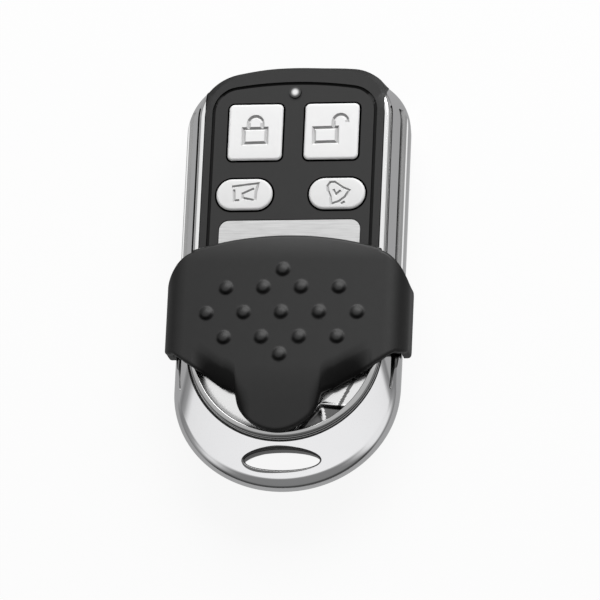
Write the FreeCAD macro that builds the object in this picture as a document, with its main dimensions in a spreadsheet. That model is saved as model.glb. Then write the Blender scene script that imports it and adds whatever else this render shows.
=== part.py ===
import FreeCAD, Part
import math
import os
import re
from types import SimpleNamespace

import Sketcher
from FreeCAD import Placement, Rotation, Vector

# Door opener remote: a key-fob transmitter with a sliding cover.
# X runs across the keys, Y along the body towards the indicator, Z out of the keys.
# The origin is at the middle of the back face. Every size is in millimetres.

SIZES = {
    # outer form of the housing, from the back up to the level of the key panel
    "belly_half_width": 17.35,
    "body_half_length": 33.1,
    "seat_level": 0.8,
    "heel_level": 4.4,
    "lug_level": 5.3,
    "belly_level": 7.2,
    "brow_level": 8.0,
    "guide_level": 8.8,
    "step_level": 10.8,
    "panel_level": 11.4,
    "crown_radius": 60.0,
    "corner_radius": 8.3,
    "seat_inset": 1.35,
    "heel_inset": 0.3,
    "lug_inset": 0.2,
    "brow_inset": 0.25,
    "guide_inset": 0.95,
    "step_inset": 2.28,
    "ledge_inset": 3.45,
    "seat_end": 24.0,
    "heel_end": 26.0,
    "lug_end": 31.6,
    "brow_end": 32.7,
    "guide_end": 31.6,
    "step_end": 26.0,
    "ledge_end": 24.8,
    "seat_oval": 12.0,
    "heel_oval": 13.5,
    "lug_oval": 15.0,
    "belly_oval": 15.7,
    "brow_oval": 15.6,
    "guide_oval": 15.2,
    "step_oval": 15.0,
    "ledge_oval": 13.8,
    "hood_slope": 0.6,
    # inside of the frame
    "cavity_inset": 2.55,
    "cavity_end": 21.6,
    "cavity_oval": 11.0,
    "cavity_roof": 9.5,
    "deck_level": 9.0,
    "deck_wall": 1.2,
    "groove_depth": 1.0,
    "groove_height": 1.0,
    "groove_low": -17.6,
    "groove_top": 27.0,
    "ring_hole_y": -28.9,
    "ring_hole_width": 12.8,
    "ring_hole_height": 4.6,
    "ring_bevel": 0.45,
    "ring_bevel_depth": 0.65,
    # front shell
    "shell_gap": 0.07,
    "panel_low": -12.4,
    "panel_wall": 1.2,
    "shell_wall": 1.25,
    "hood_wall": 1.6,
    "hood_low": 27.0,
    "hollow_corner": 5.0,
    "flange_low": 8.6,
    "flange_gap": 0.2,
    "trim_inset": 1.36,
    "trim_top": 30.6,
    "trim_width": 0.5,
    "trim_depth": 0.4,
    "trim_corner": 4.0,
    # label plate
    "label_width": 21.75,
    "label_top": 8.6,
    "label_low": -9.5,
    "label_wall": 0.4,
    "label_corner": 1.5,
    "label_gap": 0.1,
    # keys
    "square_width": 8.4,
    "square_depth": 9.0,
    "square_corner": 0.8,
    "square_x": 5.9,
    "square_y": 22.7,
    "pill_width": 8.7,
    "pill_depth": 5.0,
    "pill_corner": 2.45,
    "pill_x": 7.15,
    "pill_y": 12.7,
    "key_proud": 0.4,
    "key_edge": 0.3,
    "key_gap": 0.2,
    "key_flange": 0.6,
    "key_flange_wall": 0.8,
    "key_nub": 2.6,
    # circuit board and what stands on it
    "board_top": 6.6,
    "board_wall": 1.0,
    "board_half_width": 12.4,
    "board_low": -3.0,
    "board_top_gap": 2.9,
    "board_corner": 4.0,
    "switch_width": 5.0,
    "switch_height": 1.3,
    "stem_width": 2.0,
    "stem_gap": 0.05,
    "stem_top": 8.5,
    "stem_length": 1.3,
    "stem_well": 1.1,
    "led_from_top": 4.0,
    "led_width": 1.6,
    "led_height": 0.8,
    "lens_radius": 0.9,
    "lens_gap": 0.05,
    "lens_flange": 0.25,
    "lens_stem_half": 0.7,
    "lens_low": 7.6,
    "lens_proud": 0.3,
    "chip_y": 6.2,
    "chip_width": 8.6,
    "chip_depth": 3.9,
    "chip_height": 1.5,
    "chip_pitch": 1.23,
    "chip_lead_width": 0.42,
    "chip_lead_reach": 1.0,
    "chip_lead_wall": 0.3,
    "resonator_y": 0.4,
    "resonator_width": 9.0,
    "resonator_depth": 3.4,
    "resonator_height": 2.6,
    "resonator_corner": 1.35,
    "parts_row_y": 17.7,
    "transistor_width": 2.9,
    "transistor_depth": 1.3,
    "transistor_height": 1.0,
    "passive_width": 0.8,
    "passive_depth": 1.6,
    "passive_height": 0.5,
    "passive_pitch": 1.8,
    "passive_first_x": 3.0,
    "antenna_half_width": 8.6,
    "antenna_low": 12.0,
    "antenna_high": 24.0,
    "antenna_track": 1.0,
    "antenna_wall": 0.1,
    # battery and its contacts
    "battery_radius": 4.0,
    "battery_length": 27.6,
    "battery_y": -8.0,
    "battery_z": 5.5,
    "battery_nub_radius": 2.2,
    "battery_nub": 0.9,
    "battery_gap": 0.2,
    "contact_wall": 0.4,
    "contact_half_depth": 3.2,
    "contact_low": 2.8,
    "contact_high": 8.3,
    "contact_foot": 2.8,
    "leaf_bulge": 0.4,
    "leaf_wall": 0.2,
    "leaf_half_depth": 2.55,
    "leaf_half_height": 1.5,
    # rear shell and screws
    "rear_inset": 2.15,
    "rear_floor": 1.4,
    "rim_gap": 0.1,
    "rim_wall": 1.1,
    "rim_top": 2.6,
    "rim_high": 26.5,
    "hook_half_width": 5.0,
    "hook_top": 3.0,
    "cradle_x": 6.5,
    "cradle_wall": 1.2,
    "cradle_top": 4.0,
    "post_half_width": 1.3,
    "side_post_x": 10.8,
    "side_post_y": 20.0,
    "middle_post_high": 27.0,
    "middle_post_low": 9.6,
    "screw_x": 10.6,
    "screw_y": 3.0,
    "tail_screw_y": -16.6,
    "tower_half_width": 2.4,
    "tower_top": 3.0,
    "boss_half_width": 1.8,
    "boss_notch": 0.2,
    "boss_hole": 1.0,
    "screw_radius": 0.95,
    "screw_length": 5.6,
    "screw_head_radius": 1.7,
    "screw_head_height": 1.1,
    "screw_head_sink": 0.3,
    "screw_head_gap": 0.15,
    "screw_slot_depth": 0.5,
    "screw_slot_width": 0.5,
    "screw_slot_length": 2.4,
    # slide cover
    "cover_wall": 1.1,
    "cover_side_gap": 0.25,
    "cover_bottom": 5.5,
    "cover_top": 13.6,
    "cover_crown": 164.0,
    "cover_shoulder": 3.8,
    "cover_edge": 5.45,
    "cover_edge_drop": 0.4,
    "cover_corner_x": 14.6,
    "cover_corner_y": 3.3,
    "ear_top": -3.2,
    "ear_low": -12.6,
    "ear_round": 1.3,
    "ear_margin": 0.3,
    "pocket_hip_x": 13.6,
    "pocket_hip_y": -15.1,
    "waist_x": 8.6,
    "waist_hollow": 0.25,
    "waist_y": -18.2,
    "tongue_half_width": 6.5,
    "tongue_root": -19.6,
    "tongue_end": -25.4,
    "tongue_drop": 1.0,
    "brow_y": 2.7,
    "cover_crown_rise": 0.6,
    "cover_rim": 1.3,
    "cover_lift": 0.25,
    "lip_gap": 0.15,
    "lip_reach_gap": 0.3,
    "lip_top": -3.6,
    "bump_pitch": 5.9,
    "bump_middle_y": -6.75,
    "bump_row": 4.1,
    "bump_far_row": 6.9,
    "bump_radius": 1.15,
    "bump_rise": 0.55,
    "bump_taper": 0.35,
}

doc = FreeCAD.newDocument("door_opener_remote")
sheet = doc.addObject("Spreadsheet::Sheet", "sizes")
for row, (alias, value) in enumerate(SIZES.items(), start=1):
    sheet.set(f"A{row}", alias)
    sheet.set(f"B{row}", str(value))
    sheet.setAlias(f"B{row}", alias)
doc.recompute()
dim = SimpleNamespace(**{alias: float(sheet.get(alias)) for alias in SIZES})

nodes = []
LED_Y = "(body_half_length - led_from_top)"
BUMP_SIDES = 12


def bind(thing, place, text):
    """Drive one property of a feature by an expression in the sheet's aliases."""

    def spell(found):
        word = found.group()
        return f"sizes.{word}" if word in SIZES else word

    thing.setExpression(place, re.sub(r"[a-z][a-z_]+", spell, text))


def finish(thing, name):
    """Give a finished sub-part the name that its file takes."""
    thing.Label = name
    nodes.append(thing)
    return thing


def box(name, low, high):
    """A block between two corners, each given as three expressions."""
    block = doc.addObject("Part::Box", name)
    sides = zip("xyz", ("Length", "Width", "Height"), low, high)
    for axis, side, start, end in sides:
        bind(block, f"Placement.Base.{axis}", start)
        bind(block, side, f"({end}) - ({start})")
    return block


def rod(name, centre, radius, length, axis="z"):
    """A cylinder that starts at a centre and runs along z, x or y."""
    turns = {
        "z": Rotation(),
        "x": Rotation(Vector(0, 1, 0), 90),
        "y": Rotation(Vector(1, 0, 0), -90),
    }
    cylinder = doc.addObject("Part::Cylinder", name)
    cylinder.Placement = Placement(Vector(), turns[axis])
    for letter, text in zip("xyz", centre):
        bind(cylinder, f"Placement.Base.{letter}", text)
    bind(cylinder, "Radius", radius)
    bind(cylinder, "Height", length)
    return cylinder


def fuse(name, *pieces):
    joined = doc.addObject("Part::MultiFuse", name)
    joined.Shapes = list(pieces)
    return joined


def common(name, *pieces):
    shared = doc.addObject("Part::MultiCommon", name)
    shared.Shapes = list(pieces)
    return shared


def cut(name, base, *tools):
    tool = tools[0] if len(tools) == 1 else fuse(f"{name}_tools", *tools)
    rest = doc.addObject("Part::Cut", name)
    rest.Base = base
    rest.Tool = tool
    return rest


def tangent_corner(half_width, top, corner, crown):
    """Centre of the corner arc between a straight side and the crowned top, and its angle."""
    across = half_width - corner
    middle = top - crown
    height = middle + math.sqrt((crown - corner) ** 2 - across**2)
    return Vector(across, height, 0), math.atan2(height - middle, across)


def crowned_top(half_width, top, corner, crown):
    """Right corner arc, crown arc and left corner arc, in that order."""
    centre, turn = tangent_corner(half_width, top, corner, crown)
    up = Vector(0, 0, 1)
    left = Vector(-centre.x, centre.y, 0)
    return [
        Part.ArcOfCircle(Part.Circle(centre, up, corner), 0, turn),
        Part.ArcOfCircle(Part.Circle(Vector(0, top - crown, 0), up, crown), turn, math.pi - turn),
        Part.ArcOfCircle(Part.Circle(left, up, corner), math.pi - turn, math.pi),
    ]


def half_oval(root, half_width, depth):
    """Lower half of an ellipse about a point on the middle line, from its left end to its right."""
    middle = Vector(0, root, 0)
    side = Vector(half_width, root, 0)
    tip = Vector(0, root + depth, 0)
    if half_width >= depth:
        return Part.ArcOfEllipse(Part.Ellipse(side, tip, middle), math.pi, 2 * math.pi)
    left = Vector(-half_width, root, 0)
    return Part.ArcOfEllipse(Part.Ellipse(tip, left, middle), math.pi / 2, 3 * math.pi / 2)


def closed_sketch(name, geometry):
    """A sketch of one closed outline, whose pieces are joined end to end."""
    sketch = doc.addObject("Sketcher::SketchObject", name)
    sketch.addGeometry(geometry, False)
    count = len(geometry)
    for index in range(count):
        sketch.addConstraint(Sketcher.Constraint("Coincident", index, 2, (index + 1) % count, 1))
    return sketch


def oval_outline(name, half_width, top, end, oval, corner, level):
    """Plan of the housing at one level: crowned top, straight sides, half oval at the ring end."""
    root = oval - end
    arcs = crowned_top(half_width, top, corner, dim.crown_radius)
    shoulder = tangent_corner(half_width, top, corner, dim.crown_radius)[0].y
    geometry = [
        Part.LineSegment(Vector(half_width, root, 0), Vector(half_width, shoulder, 0)),
        *arcs,
        Part.LineSegment(Vector(-half_width, shoulder, 0), Vector(-half_width, root, 0)),
        half_oval(root, half_width, oval),
    ]
    sketch = closed_sketch(name, geometry)
    bind(sketch, "Placement.Base.z", level)
    return sketch


def square_outline(name, half_width, top, bottom, corner, crown):
    """Crowned top over straight sides and a flat foot."""
    shoulder = tangent_corner(half_width, top, corner, crown)[0].y
    geometry = [
        Part.LineSegment(Vector(half_width, bottom, 0), Vector(half_width, shoulder, 0)),
        *crowned_top(half_width, top, corner, crown),
        Part.LineSegment(Vector(-half_width, shoulder, 0), Vector(-half_width, bottom, 0)),
        Part.LineSegment(Vector(-half_width, bottom, 0), Vector(half_width, bottom, 0)),
    ]
    return closed_sketch(name, geometry)


def raise_plan(name, sketch, low, high):
    """Extrude a plan sketch from one level to another."""
    bind(sketch, "Placement.Base.z", low)
    prism = doc.addObject("Part::Extrusion", name)
    prism.Base = sketch
    prism.Dir = Vector(0, 0, 1)
    prism.DirMode = "Custom"
    prism.Solid = True
    bind(prism, "LengthFwd", f"({high}) - ({low})")
    return prism


def run_profile(name, sketch, low, high):
    """Extrude a cross-section, drawn in X and Z, along Y."""
    sketch.Placement = Placement(Vector(), Rotation(Vector(1, 0, 0), 90))
    bind(sketch, "Placement.Base.y", low)
    prism = doc.addObject("Part::Extrusion", name)
    prism.Base = sketch
    prism.Dir = Vector(0, 1, 0)
    prism.DirMode = "Custom"
    prism.Solid = True
    bind(prism, "LengthFwd", f"({high}) - ({low})")
    return prism


def loft(name, sketches):
    form = doc.addObject("Part::Loft", name)
    form.Sections = sketches
    form.Solid = True
    form.Ruled = True
    return form


def body_at(name, x, y, z="0"):
    """A body whose sketches are drawn about its own origin."""
    body = doc.addObject("PartDesign::Body", name)
    for letter, text in zip("xyz", (x, y, z)):
        bind(body, f"Placement.Base.{letter}", text)
    return body


def sketch_on(body, name, level):
    """An empty sketch on the body's XY plane, raised to a level."""
    plane = next(item for item in body.Origin.OriginFeatures if item.Role == "XY_Plane")
    sketch = body.newObject("Sketcher::SketchObject", name)
    sketch.AttachmentSupport = [(plane, "")]
    sketch.MapMode = "FlatFace"
    bind(sketch, "AttachmentOffset.Base.z", level)
    return sketch


def draw_rounded_rectangle(sketch, size, width, depth, corner):
    """Four lines and four tangent arcs about the origin; size holds their present values."""
    across, along, radius = size[0] / 2, size[1] / 2, size[2]
    inner = Vector(across - radius, along - radius, 0)
    up = Vector(0, 0, 1)
    lines = [
        (Vector(-inner.x, -along, 0), Vector(inner.x, -along, 0)),
        (Vector(across, -inner.y, 0), Vector(across, inner.y, 0)),
        (Vector(inner.x, along, 0), Vector(-inner.x, along, 0)),
        (Vector(-across, inner.y, 0), Vector(-across, -inner.y, 0)),
    ]
    centres = [
        Vector(inner.x, -inner.y, 0),
        inner,
        Vector(-inner.x, inner.y, 0),
        Vector(-inner.x, -inner.y, 0),
    ]
    for side, (start, end) in enumerate(lines):
        sketch.addGeometry(Part.LineSegment(start, end), False)
        first = (side - 1) * math.pi / 2
        circle = Part.Circle(centres[side], up, radius)
        sketch.addGeometry(Part.ArcOfCircle(circle, first, first + math.pi / 2), False)
    rules = []
    for side in range(4):
        line, arc, following = 2 * side, 2 * side + 1, (2 * side + 2) % 8
        rules.append(Sketcher.Constraint("Tangent", line, 2, arc, 1))
        rules.append(Sketcher.Constraint("Tangent", arc, 2, following, 1))
        rules.append(Sketcher.Constraint("Vertical" if side % 2 else "Horizontal", line))
    for arc in (3, 5, 7):
        rules.append(Sketcher.Constraint("Equal", 1, arc))
    rules.append(Sketcher.Constraint("Symmetric", 1, 3, 5, 3, -1, 1))
    sketch.addConstraint(rules)
    index = sketch.addConstraint(Sketcher.Constraint("Radius", 1, radius))
    bind(sketch, f"Constraints[{index}]", corner)
    index = sketch.addConstraint(Sketcher.Constraint("DistanceX", 5, 3, 3, 3, 2 * inner.x))
    bind(sketch, f"Constraints[{index}]", f"({width}) - 2 * ({corner})")
    index = sketch.addConstraint(Sketcher.Constraint("DistanceY", 1, 3, 3, 3, 2 * inner.y))
    bind(sketch, f"Constraints[{index}]", f"({depth}) - 2 * ({corner})")


def draw_rectangle(sketch, size, width, depth):
    """Four lines about the origin; size holds their present values."""
    across, along = size[0] / 2, size[1] / 2
    corners = [
        Vector(-across, -along, 0),
        Vector(across, -along, 0),
        Vector(across, along, 0),
        Vector(-across, along, 0),
    ]
    rules = []
    for side in range(4):
        following = (side + 1) % 4
        sketch.addGeometry(Part.LineSegment(corners[side], corners[following]), False)
        rules.append(Sketcher.Constraint("Coincident", side, 2, following, 1))
        rules.append(Sketcher.Constraint("Vertical" if side % 2 else "Horizontal", side))
    rules.append(Sketcher.Constraint("Symmetric", 0, 1, 1, 2, -1, 1))
    sketch.addConstraint(rules)
    index = sketch.addConstraint(Sketcher.Constraint("DistanceX", 0, 1, 0, 2, 2 * across))
    bind(sketch, f"Constraints[{index}]", width)
    index = sketch.addConstraint(Sketcher.Constraint("DistanceY", 1, 1, 1, 2, 2 * along))
    bind(sketch, f"Constraints[{index}]", depth)


def pad(body, name, sketch, height, downwards=False):
    feature = body.newObject("PartDesign::Pad", name)
    feature.Profile = sketch
    feature.Reversed = downwards
    bind(feature, "Length", height)
    return feature


def pocket(body, name, sketch, depth):
    """A pocket that goes down from the sketch's level."""
    feature = body.newObject("PartDesign::Pocket", name)
    feature.Profile = sketch
    bind(feature, "Length", depth)
    return feature


def highest_face(shape):
    """Name of the level face that lies highest on a shape."""
    heights = {
        f"Face{index}": face.BoundBox.ZMax
        for index, face in enumerate(shape.Faces, start=1)
        if face.BoundBox.ZLength < 1e-6
    }
    return max(heights, key=heights.get)


def outer_form():
    """Lofted outer form of the closed housing, from the rear shell's seat to the key panel."""
    widest = dim.belly_half_width
    length = dim.body_half_length
    rows = (
        ("seat", dim.seat_inset, length - dim.seat_inset, dim.seat_end, dim.seat_oval),
        ("heel", dim.heel_inset, length - dim.heel_inset, dim.heel_end, dim.heel_oval),
        ("lug", dim.lug_inset, length - dim.lug_inset, dim.lug_end, dim.lug_oval),
        ("belly", 0.0, length, length, dim.belly_oval),
        ("brow", dim.brow_inset, length, dim.brow_end, dim.brow_oval),
        ("guide", dim.guide_inset, length, dim.guide_end, dim.guide_oval),
        ("step", dim.step_inset, length, dim.step_end, dim.step_oval),
        ("panel", dim.ledge_inset, length - dim.hood_slope, dim.ledge_end, dim.ledge_oval),
    )
    sections = []
    for name, inset, top, end, oval in rows:
        corner = dim.corner_radius - inset / 2
        outline = oval_outline(
            f"{name}_outline", widest - inset, top, end, oval, corner, f"{name}_level"
        )
        sections.append(outline)
    return loft("outer_form", sections)


def chrome_frame(form):
    """Die-cast frame: two side rails, an apron with the ring eye and a sunk deck, open at the top."""
    half = dim.belly_half_width - dim.cavity_inset
    roof = "deck_level - deck_wall"
    plan = oval_outline(
        "cavity_plan", half, dim.body_half_length + dim.corner_radius, dim.cavity_end,
        dim.cavity_oval, dim.corner_radius, "0",
    )
    cavity = raise_plan("cavity", plan, "-seat_level", roof)
    inner = "belly_half_width - cavity_inset"
    opening = "belly_half_width - ledge_inset"
    beyond = "body_half_length + seat_level"
    bay = box(
        "shell_bay",
        (f"-({inner})", "panel_low", roof),
        (inner, beyond, "cavity_roof"),
    )
    seat = box(
        "panel_seat",
        (f"-({opening})", "panel_low", "cavity_roof"),
        (opening, beyond, "panel_level + seat_level"),
    )
    top_gap = box(
        "hood_gap",
        (f"-({opening})", "hood_low - seat_level", "0"),
        (opening, beyond, "panel_level + seat_level"),
    )
    deck_plan = oval_outline(
        "deck_plan", dim.belly_half_width - dim.ledge_inset, dim.ledge_end, dim.ledge_end,
        dim.ledge_oval, dim.hollow_corner, "0",
    )
    deck_prism = raise_plan("deck_prism", deck_plan, "deck_level", "panel_level + seat_level")
    deck_side = box(
        "deck_side",
        ("-belly_half_width", "-body_half_length", "deck_level"),
        ("belly_half_width", "panel_low + seat_level", "panel_level + seat_level"),
    )
    deck = common("deck_recess", deck_prism, deck_side)
    grooves = [guide_groove(side) for side in (-1, 1)]
    shell = cut("frame_shell", form, cavity, bay, seat, top_gap, deck, ring_hole(), *grooves)
    boss = screw_boss("tail_boss", "0", "tail_screw_y", f"{roof} + screw_head_sink")
    boss_hole = rod(
        "tail_boss_hole", ("0", "tail_screw_y", "tower_top"), "boss_hole", "screw_length"
    )
    with_boss = fuse("frame_with_boss", shell, boss)
    return finish(cut("frame_body", with_boss, boss_hole), "chrome_frame")


def screw_boss(name, x, y, high):
    """Square post that a case screw bites into, from the top of its tower upwards."""
    return box(
        name,
        (f"{x} - boss_half_width", f"{y} - boss_half_width", "tower_top"),
        (f"{x} + boss_half_width", f"{y} + boss_half_width", high),
    )


def guide_groove(side):
    """Slot along one rail that the cover's lip runs in, closed and round at its low end."""
    name = "left" if side < 0 else "right"
    floor = "belly_half_width - guide_inset - groove_depth"
    outside = "belly_half_width + groove_depth"
    ends = (floor, outside) if side > 0 else (f"-({outside})", f"-({floor})")
    straight = box(
        f"{name}_groove_run",
        (ends[0], "groove_low + groove_height / 2", "guide_level - groove_height / 2"),
        (ends[1], "groove_top", "guide_level + groove_height / 2"),
    )
    round_end = rod(
        f"{name}_groove_end",
        (ends[0], "groove_low + groove_height / 2", "guide_level"),
        "groove_height / 2",
        f"({outside}) - ({floor})",
        "x",
    )
    return fuse(f"{name}_groove", straight, round_end)


def ring_hole():
    """Oval hole for a key ring, through the lug, with a bevel that follows the apron's slope."""
    run = dim.guide_end - dim.step_end
    rise = dim.step_level - dim.guide_level
    slope = math.atan2(rise, run)
    apron = f"guide_level + (ring_hole_y + guide_end) * {rise / run:.4f}"

    def oval(name, grow, tilt, level):
        ellipse = Part.Ellipse(
            Vector(),
            dim.ring_hole_width / 2 + grow,
            (dim.ring_hole_height / 2 + grow) / math.cos(tilt),
        )
        sketch = doc.addObject("Sketcher::SketchObject", name)
        sketch.addGeometry(ellipse, False)
        sketch.Placement = Placement(Vector(), Rotation(Vector(1, 0, 0), math.degrees(tilt)))
        bind(sketch, "Placement.Base.y", "ring_hole_y")
        bind(sketch, "Placement.Base.z", level)
        return sketch

    bore = raise_plan(
        "ring_bore", oval("ring_plan", 0.0, 0.0, "0"), "heel_level - 1", "step_level"
    )
    funnel = loft(
        "ring_funnel",
        [
            oval("ring_funnel_low", 0.0, slope, f"{apron} - ring_bevel_depth"),
            oval("ring_funnel_high", 2 * dim.ring_bevel, slope, f"{apron} + ring_bevel_depth"),
        ],
    )
    return fuse("ring_hole", bore, funnel)


KEYS = (
    ("lock", "square", -1),
    ("unlock", "square", 1),
    ("boot", "pill", -1),
    ("alarm", "pill", 1),
)


def key_place(shape, side):
    sign = "-" if side < 0 else ""
    return f"{sign}{shape}_x", f"{shape}_y"


def key_block(name, shape, grow, spread):
    """Present sizes and expressions of one key's outline, grown by a margin."""
    size = (
        getattr(dim, f"{shape}_width") + 2 * spread,
        getattr(dim, f"{shape}_depth") + 2 * spread,
        getattr(dim, f"{shape}_corner") + spread,
    )
    texts = (f"{shape}_width + 2 * ({grow})", f"{shape}_depth + 2 * ({grow})")
    return size, (*texts, f"{shape}_corner + ({grow})")


def key_window(name, shape, side):
    """Tool that opens the panel for one key."""
    body = body_at(f"{name}_window", *key_place(shape, side))
    sketch = sketch_on(body, f"{name}_window_plan", "panel_level - 2 * panel_wall")
    size, texts = key_block(name, shape, "key_gap", dim.key_gap)
    draw_rounded_rectangle(sketch, size, *texts)
    pad(body, f"{name}_window_pad", sketch, "3 * panel_wall")
    return body


def key_cap(name, shape, side):
    """Moulded cap: face, flange that is caught under the panel, and a nub over the switch."""
    body = body_at(f"{name}_cap", *key_place(shape, side))
    foot = "panel_level - panel_wall - key_flange_wall"
    flange_plan = sketch_on(body, f"{name}_flange_plan", foot)
    size, texts = key_block(name, shape, "key_flange", dim.key_flange)
    draw_rectangle(flange_plan, size, *texts[:2])
    pad(body, f"{name}_flange", flange_plan, "key_flange_wall")
    face_plan = sketch_on(body, f"{name}_face_plan", foot)
    size, texts = key_block(name, shape, "0", 0.0)
    draw_rounded_rectangle(face_plan, size, *texts)
    pad(body, f"{name}_face", face_plan, "key_flange_wall + panel_wall + key_proud")
    nub_plan = sketch_on(body, f"{name}_nub_plan", foot)
    draw_rectangle(nub_plan, (dim.key_nub, dim.key_nub), "key_nub", "key_nub")
    nub = pad(body, f"{name}_nub", nub_plan, f"{foot} - stem_top", downwards=True)
    doc.recompute()
    edge = body.newObject("PartDesign::Chamfer", f"{name}_edge")
    edge.Base = (nub, [highest_face(nub.Shape)])
    bind(edge, "Size", "key_edge")
    return finish(body, f"{name}_button")


def switch_base(name, shape, side):
    """Low key switch on the board, with a well for its stem."""
    body = body_at(f"{name}_switch", *key_place(shape, side), "board_top")
    plan = sketch_on(body, f"{name}_switch_plan", "0")
    draw_rectangle(plan, (dim.switch_width, dim.switch_width), "switch_width", "switch_width")
    pad(body, f"{name}_switch_pad", plan, "switch_height")
    well = sketch_on(body, f"{name}_well_plan", "switch_height")
    opening = dim.stem_width + 2 * dim.stem_gap
    text = "stem_width + 2 * stem_gap"
    draw_rectangle(well, (opening, opening), text, text)
    pocket(body, f"{name}_well", well, "stem_well")
    return finish(body, f"{name}_switch_base")


def switch_stem(name, shape, side):
    """Square plunger of the switch, which the cap's nub rests on."""
    body = body_at(f"{name}_stem", *key_place(shape, side), "stem_top")
    plan = sketch_on(body, f"{name}_stem_plan", "0")
    draw_rectangle(plan, (dim.stem_width, dim.stem_width), "stem_width", "stem_width")
    pad(body, f"{name}_stem_pad", plan, "stem_length", downwards=True)
    return finish(body, f"{name}_switch_stem")


def front_shell(form):
    """Black front moulding: key panel, top hood, flange under the rails and two screw bosses."""
    half = "belly_half_width - ledge_inset - shell_gap"
    beyond = "body_half_length + seat_level"
    core = box(
        "shell_core",
        (f"-({half})", "panel_low + shell_gap", "seat_level"),
        (half, beyond, "panel_level"),
    )
    blank = common("shell_blank", form, core)
    hollow_plan = square_outline(
        "shell_hollow_plan",
        dim.belly_half_width - dim.ledge_inset - dim.shell_wall,
        dim.body_half_length - dim.hood_wall,
        dim.panel_low + dim.shell_wall,
        dim.hollow_corner,
        dim.crown_radius,
    )
    hollow = raise_plan("shell_hollow", hollow_plan, "0", "panel_level - panel_wall")
    low_side = box(
        "shell_low_side",
        ("-belly_half_width", "-body_half_length", "0"),
        ("belly_half_width", "hood_low", "flange_low"),
    )
    flange_half = "belly_half_width - cavity_inset - flange_gap"
    flange = box(
        "shell_flange",
        (f"-({flange_half})", "panel_low + flange_gap", "flange_low"),
        (flange_half, "hood_low - seat_level", "cavity_roof"),
    )
    battery_bay = rod(
        "battery_bay",
        ("-belly_half_width", "battery_y", "battery_z"),
        "battery_radius + battery_gap",
        "2 * belly_half_width",
        "x",
    )
    hollow_shell = cut(
        "shell_hollowed", fuse("shell_flanged", blank, flange), hollow, low_side, battery_bay
    )
    bosses = []
    boss_holes = []
    for side, sign in (("left", "-"), ("right", "")):
        place = (f"{sign}screw_x", "screw_y", "tower_top")
        bosses.append(
            screw_boss(
                f"{side}_boss", *place[:2], "panel_level - panel_wall + screw_head_sink"
            )
        )
        boss_holes.append(rod(f"{side}_boss_hole", place, "boss_hole", "screw_length"))
    windows = [key_window(*key) for key in KEYS]
    lens_hole = rod(
        "lens_hole",
        ("0", LED_Y, "panel_level - 2 * panel_wall"),
        "lens_radius + lens_gap",
        "3 * panel_wall",
    )
    shell = cut(
        "shell_body", fuse("shell_bossed", hollow_shell, *bosses), *boss_holes, *windows,
        lens_hole, trim_groove(), label_recess(),
    )
    return finish(shell, "front_shell")


def trim_groove():
    """Narrow groove that runs round the keys, parallel to the panel's edge."""
    outer = dim.belly_half_width - dim.ledge_inset - dim.trim_inset
    rings = []
    for name, inset in (("outer", -dim.trim_width / 2), ("inner", dim.trim_width / 2)):
        plan = square_outline(
            f"trim_{name}_plan",
            outer - inset,
            dim.trim_top - inset,
            dim.panel_low - dim.shell_wall,
            dim.trim_corner - inset,
            dim.crown_radius,
        )
        rings.append(
            raise_plan(f"trim_{name}", plan, "panel_level - trim_depth", "panel_level + trim_depth")
        )
    return cut("trim_groove", *rings)


def label_slab(name, grow, low, high):
    """Plate with rounded top corners, grown by a margin."""
    body = body_at(name, "0", "(label_top + label_low) / 2")
    plan = sketch_on(body, f"{name}_plan", low)
    margin = getattr(dim, grow) if grow else 0.0
    text = grow if grow else "0"
    size = (
        dim.label_width + 2 * margin,
        dim.label_top - dim.label_low + 2 * margin,
        dim.label_corner + margin,
    )
    draw_rounded_rectangle(
        plan, size, f"label_width + 2 * ({text})", f"label_top - label_low + 2 * ({text})",
        f"label_corner + ({text})",
    )
    pad(body, f"{name}_pad", plan, f"({high}) - ({low})")
    return body


def label_recess():
    return label_slab(
        "label_recess", "label_gap", "panel_level - label_gap - label_wall", "panel_level + label_wall"
    )


def label_plate():
    low = "panel_level - label_gap - label_wall"
    return finish(label_slab("label_slab", "", low, "panel_level - label_gap"), "label_plate")


def indicator_lens():
    """Light guide: square stem over the diode, square flange, round button in the panel."""
    reach = "lens_radius + lens_flange"
    under = "panel_level - panel_wall"
    button = rod(
        "lens_button", ("0", LED_Y, under), "lens_radius", "panel_wall + lens_proud"
    )
    flange = box(
        "lens_flange_plate",
        (f"-({reach})", f"{LED_Y} - ({reach})", f"{under} - key_flange_wall"),
        (reach, f"{LED_Y} + {reach}", under),
    )
    stem = box(
        "lens_stem",
        ("-lens_stem_half", f"{LED_Y} - lens_stem_half", "lens_low"),
        ("lens_stem_half", f"{LED_Y} + lens_stem_half", under),
    )
    return finish(fuse("lens", button, flange, stem), "indicator_lens")


def circuit_board():
    """Board with notches where the front shell's bosses pass."""
    high = "(body_half_length - board_top_gap)"
    body = body_at("board", "0", f"(board_low + {high}) / 2", "board_top")
    plan = sketch_on(body, "board_plan", "0")
    length = dim.body_half_length - dim.board_top_gap - dim.board_low
    size = (2 * dim.board_half_width, length, dim.board_corner)
    draw_rounded_rectangle(
        plan, size, "2 * board_half_width", f"{high} - board_low", "board_corner"
    )
    pad(body, "board_pad", plan, "board_wall", downwards=True)
    reach = "boss_half_width + boss_notch"
    notches = [
        box(
            f"{side}_board_notch",
            (low, f"screw_y - ({reach})", "board_top - 2 * board_wall"),
            (high, f"screw_y + {reach}", "board_top + board_wall"),
        )
        for side, low, high in (
            ("left", "-board_half_width - board_wall", f"-screw_x + {reach}"),
            ("right", f"screw_x - ({reach})", "board_half_width + board_wall"),
        )
    ]
    return finish(cut("board_body", body, *notches), "circuit_board")


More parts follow.
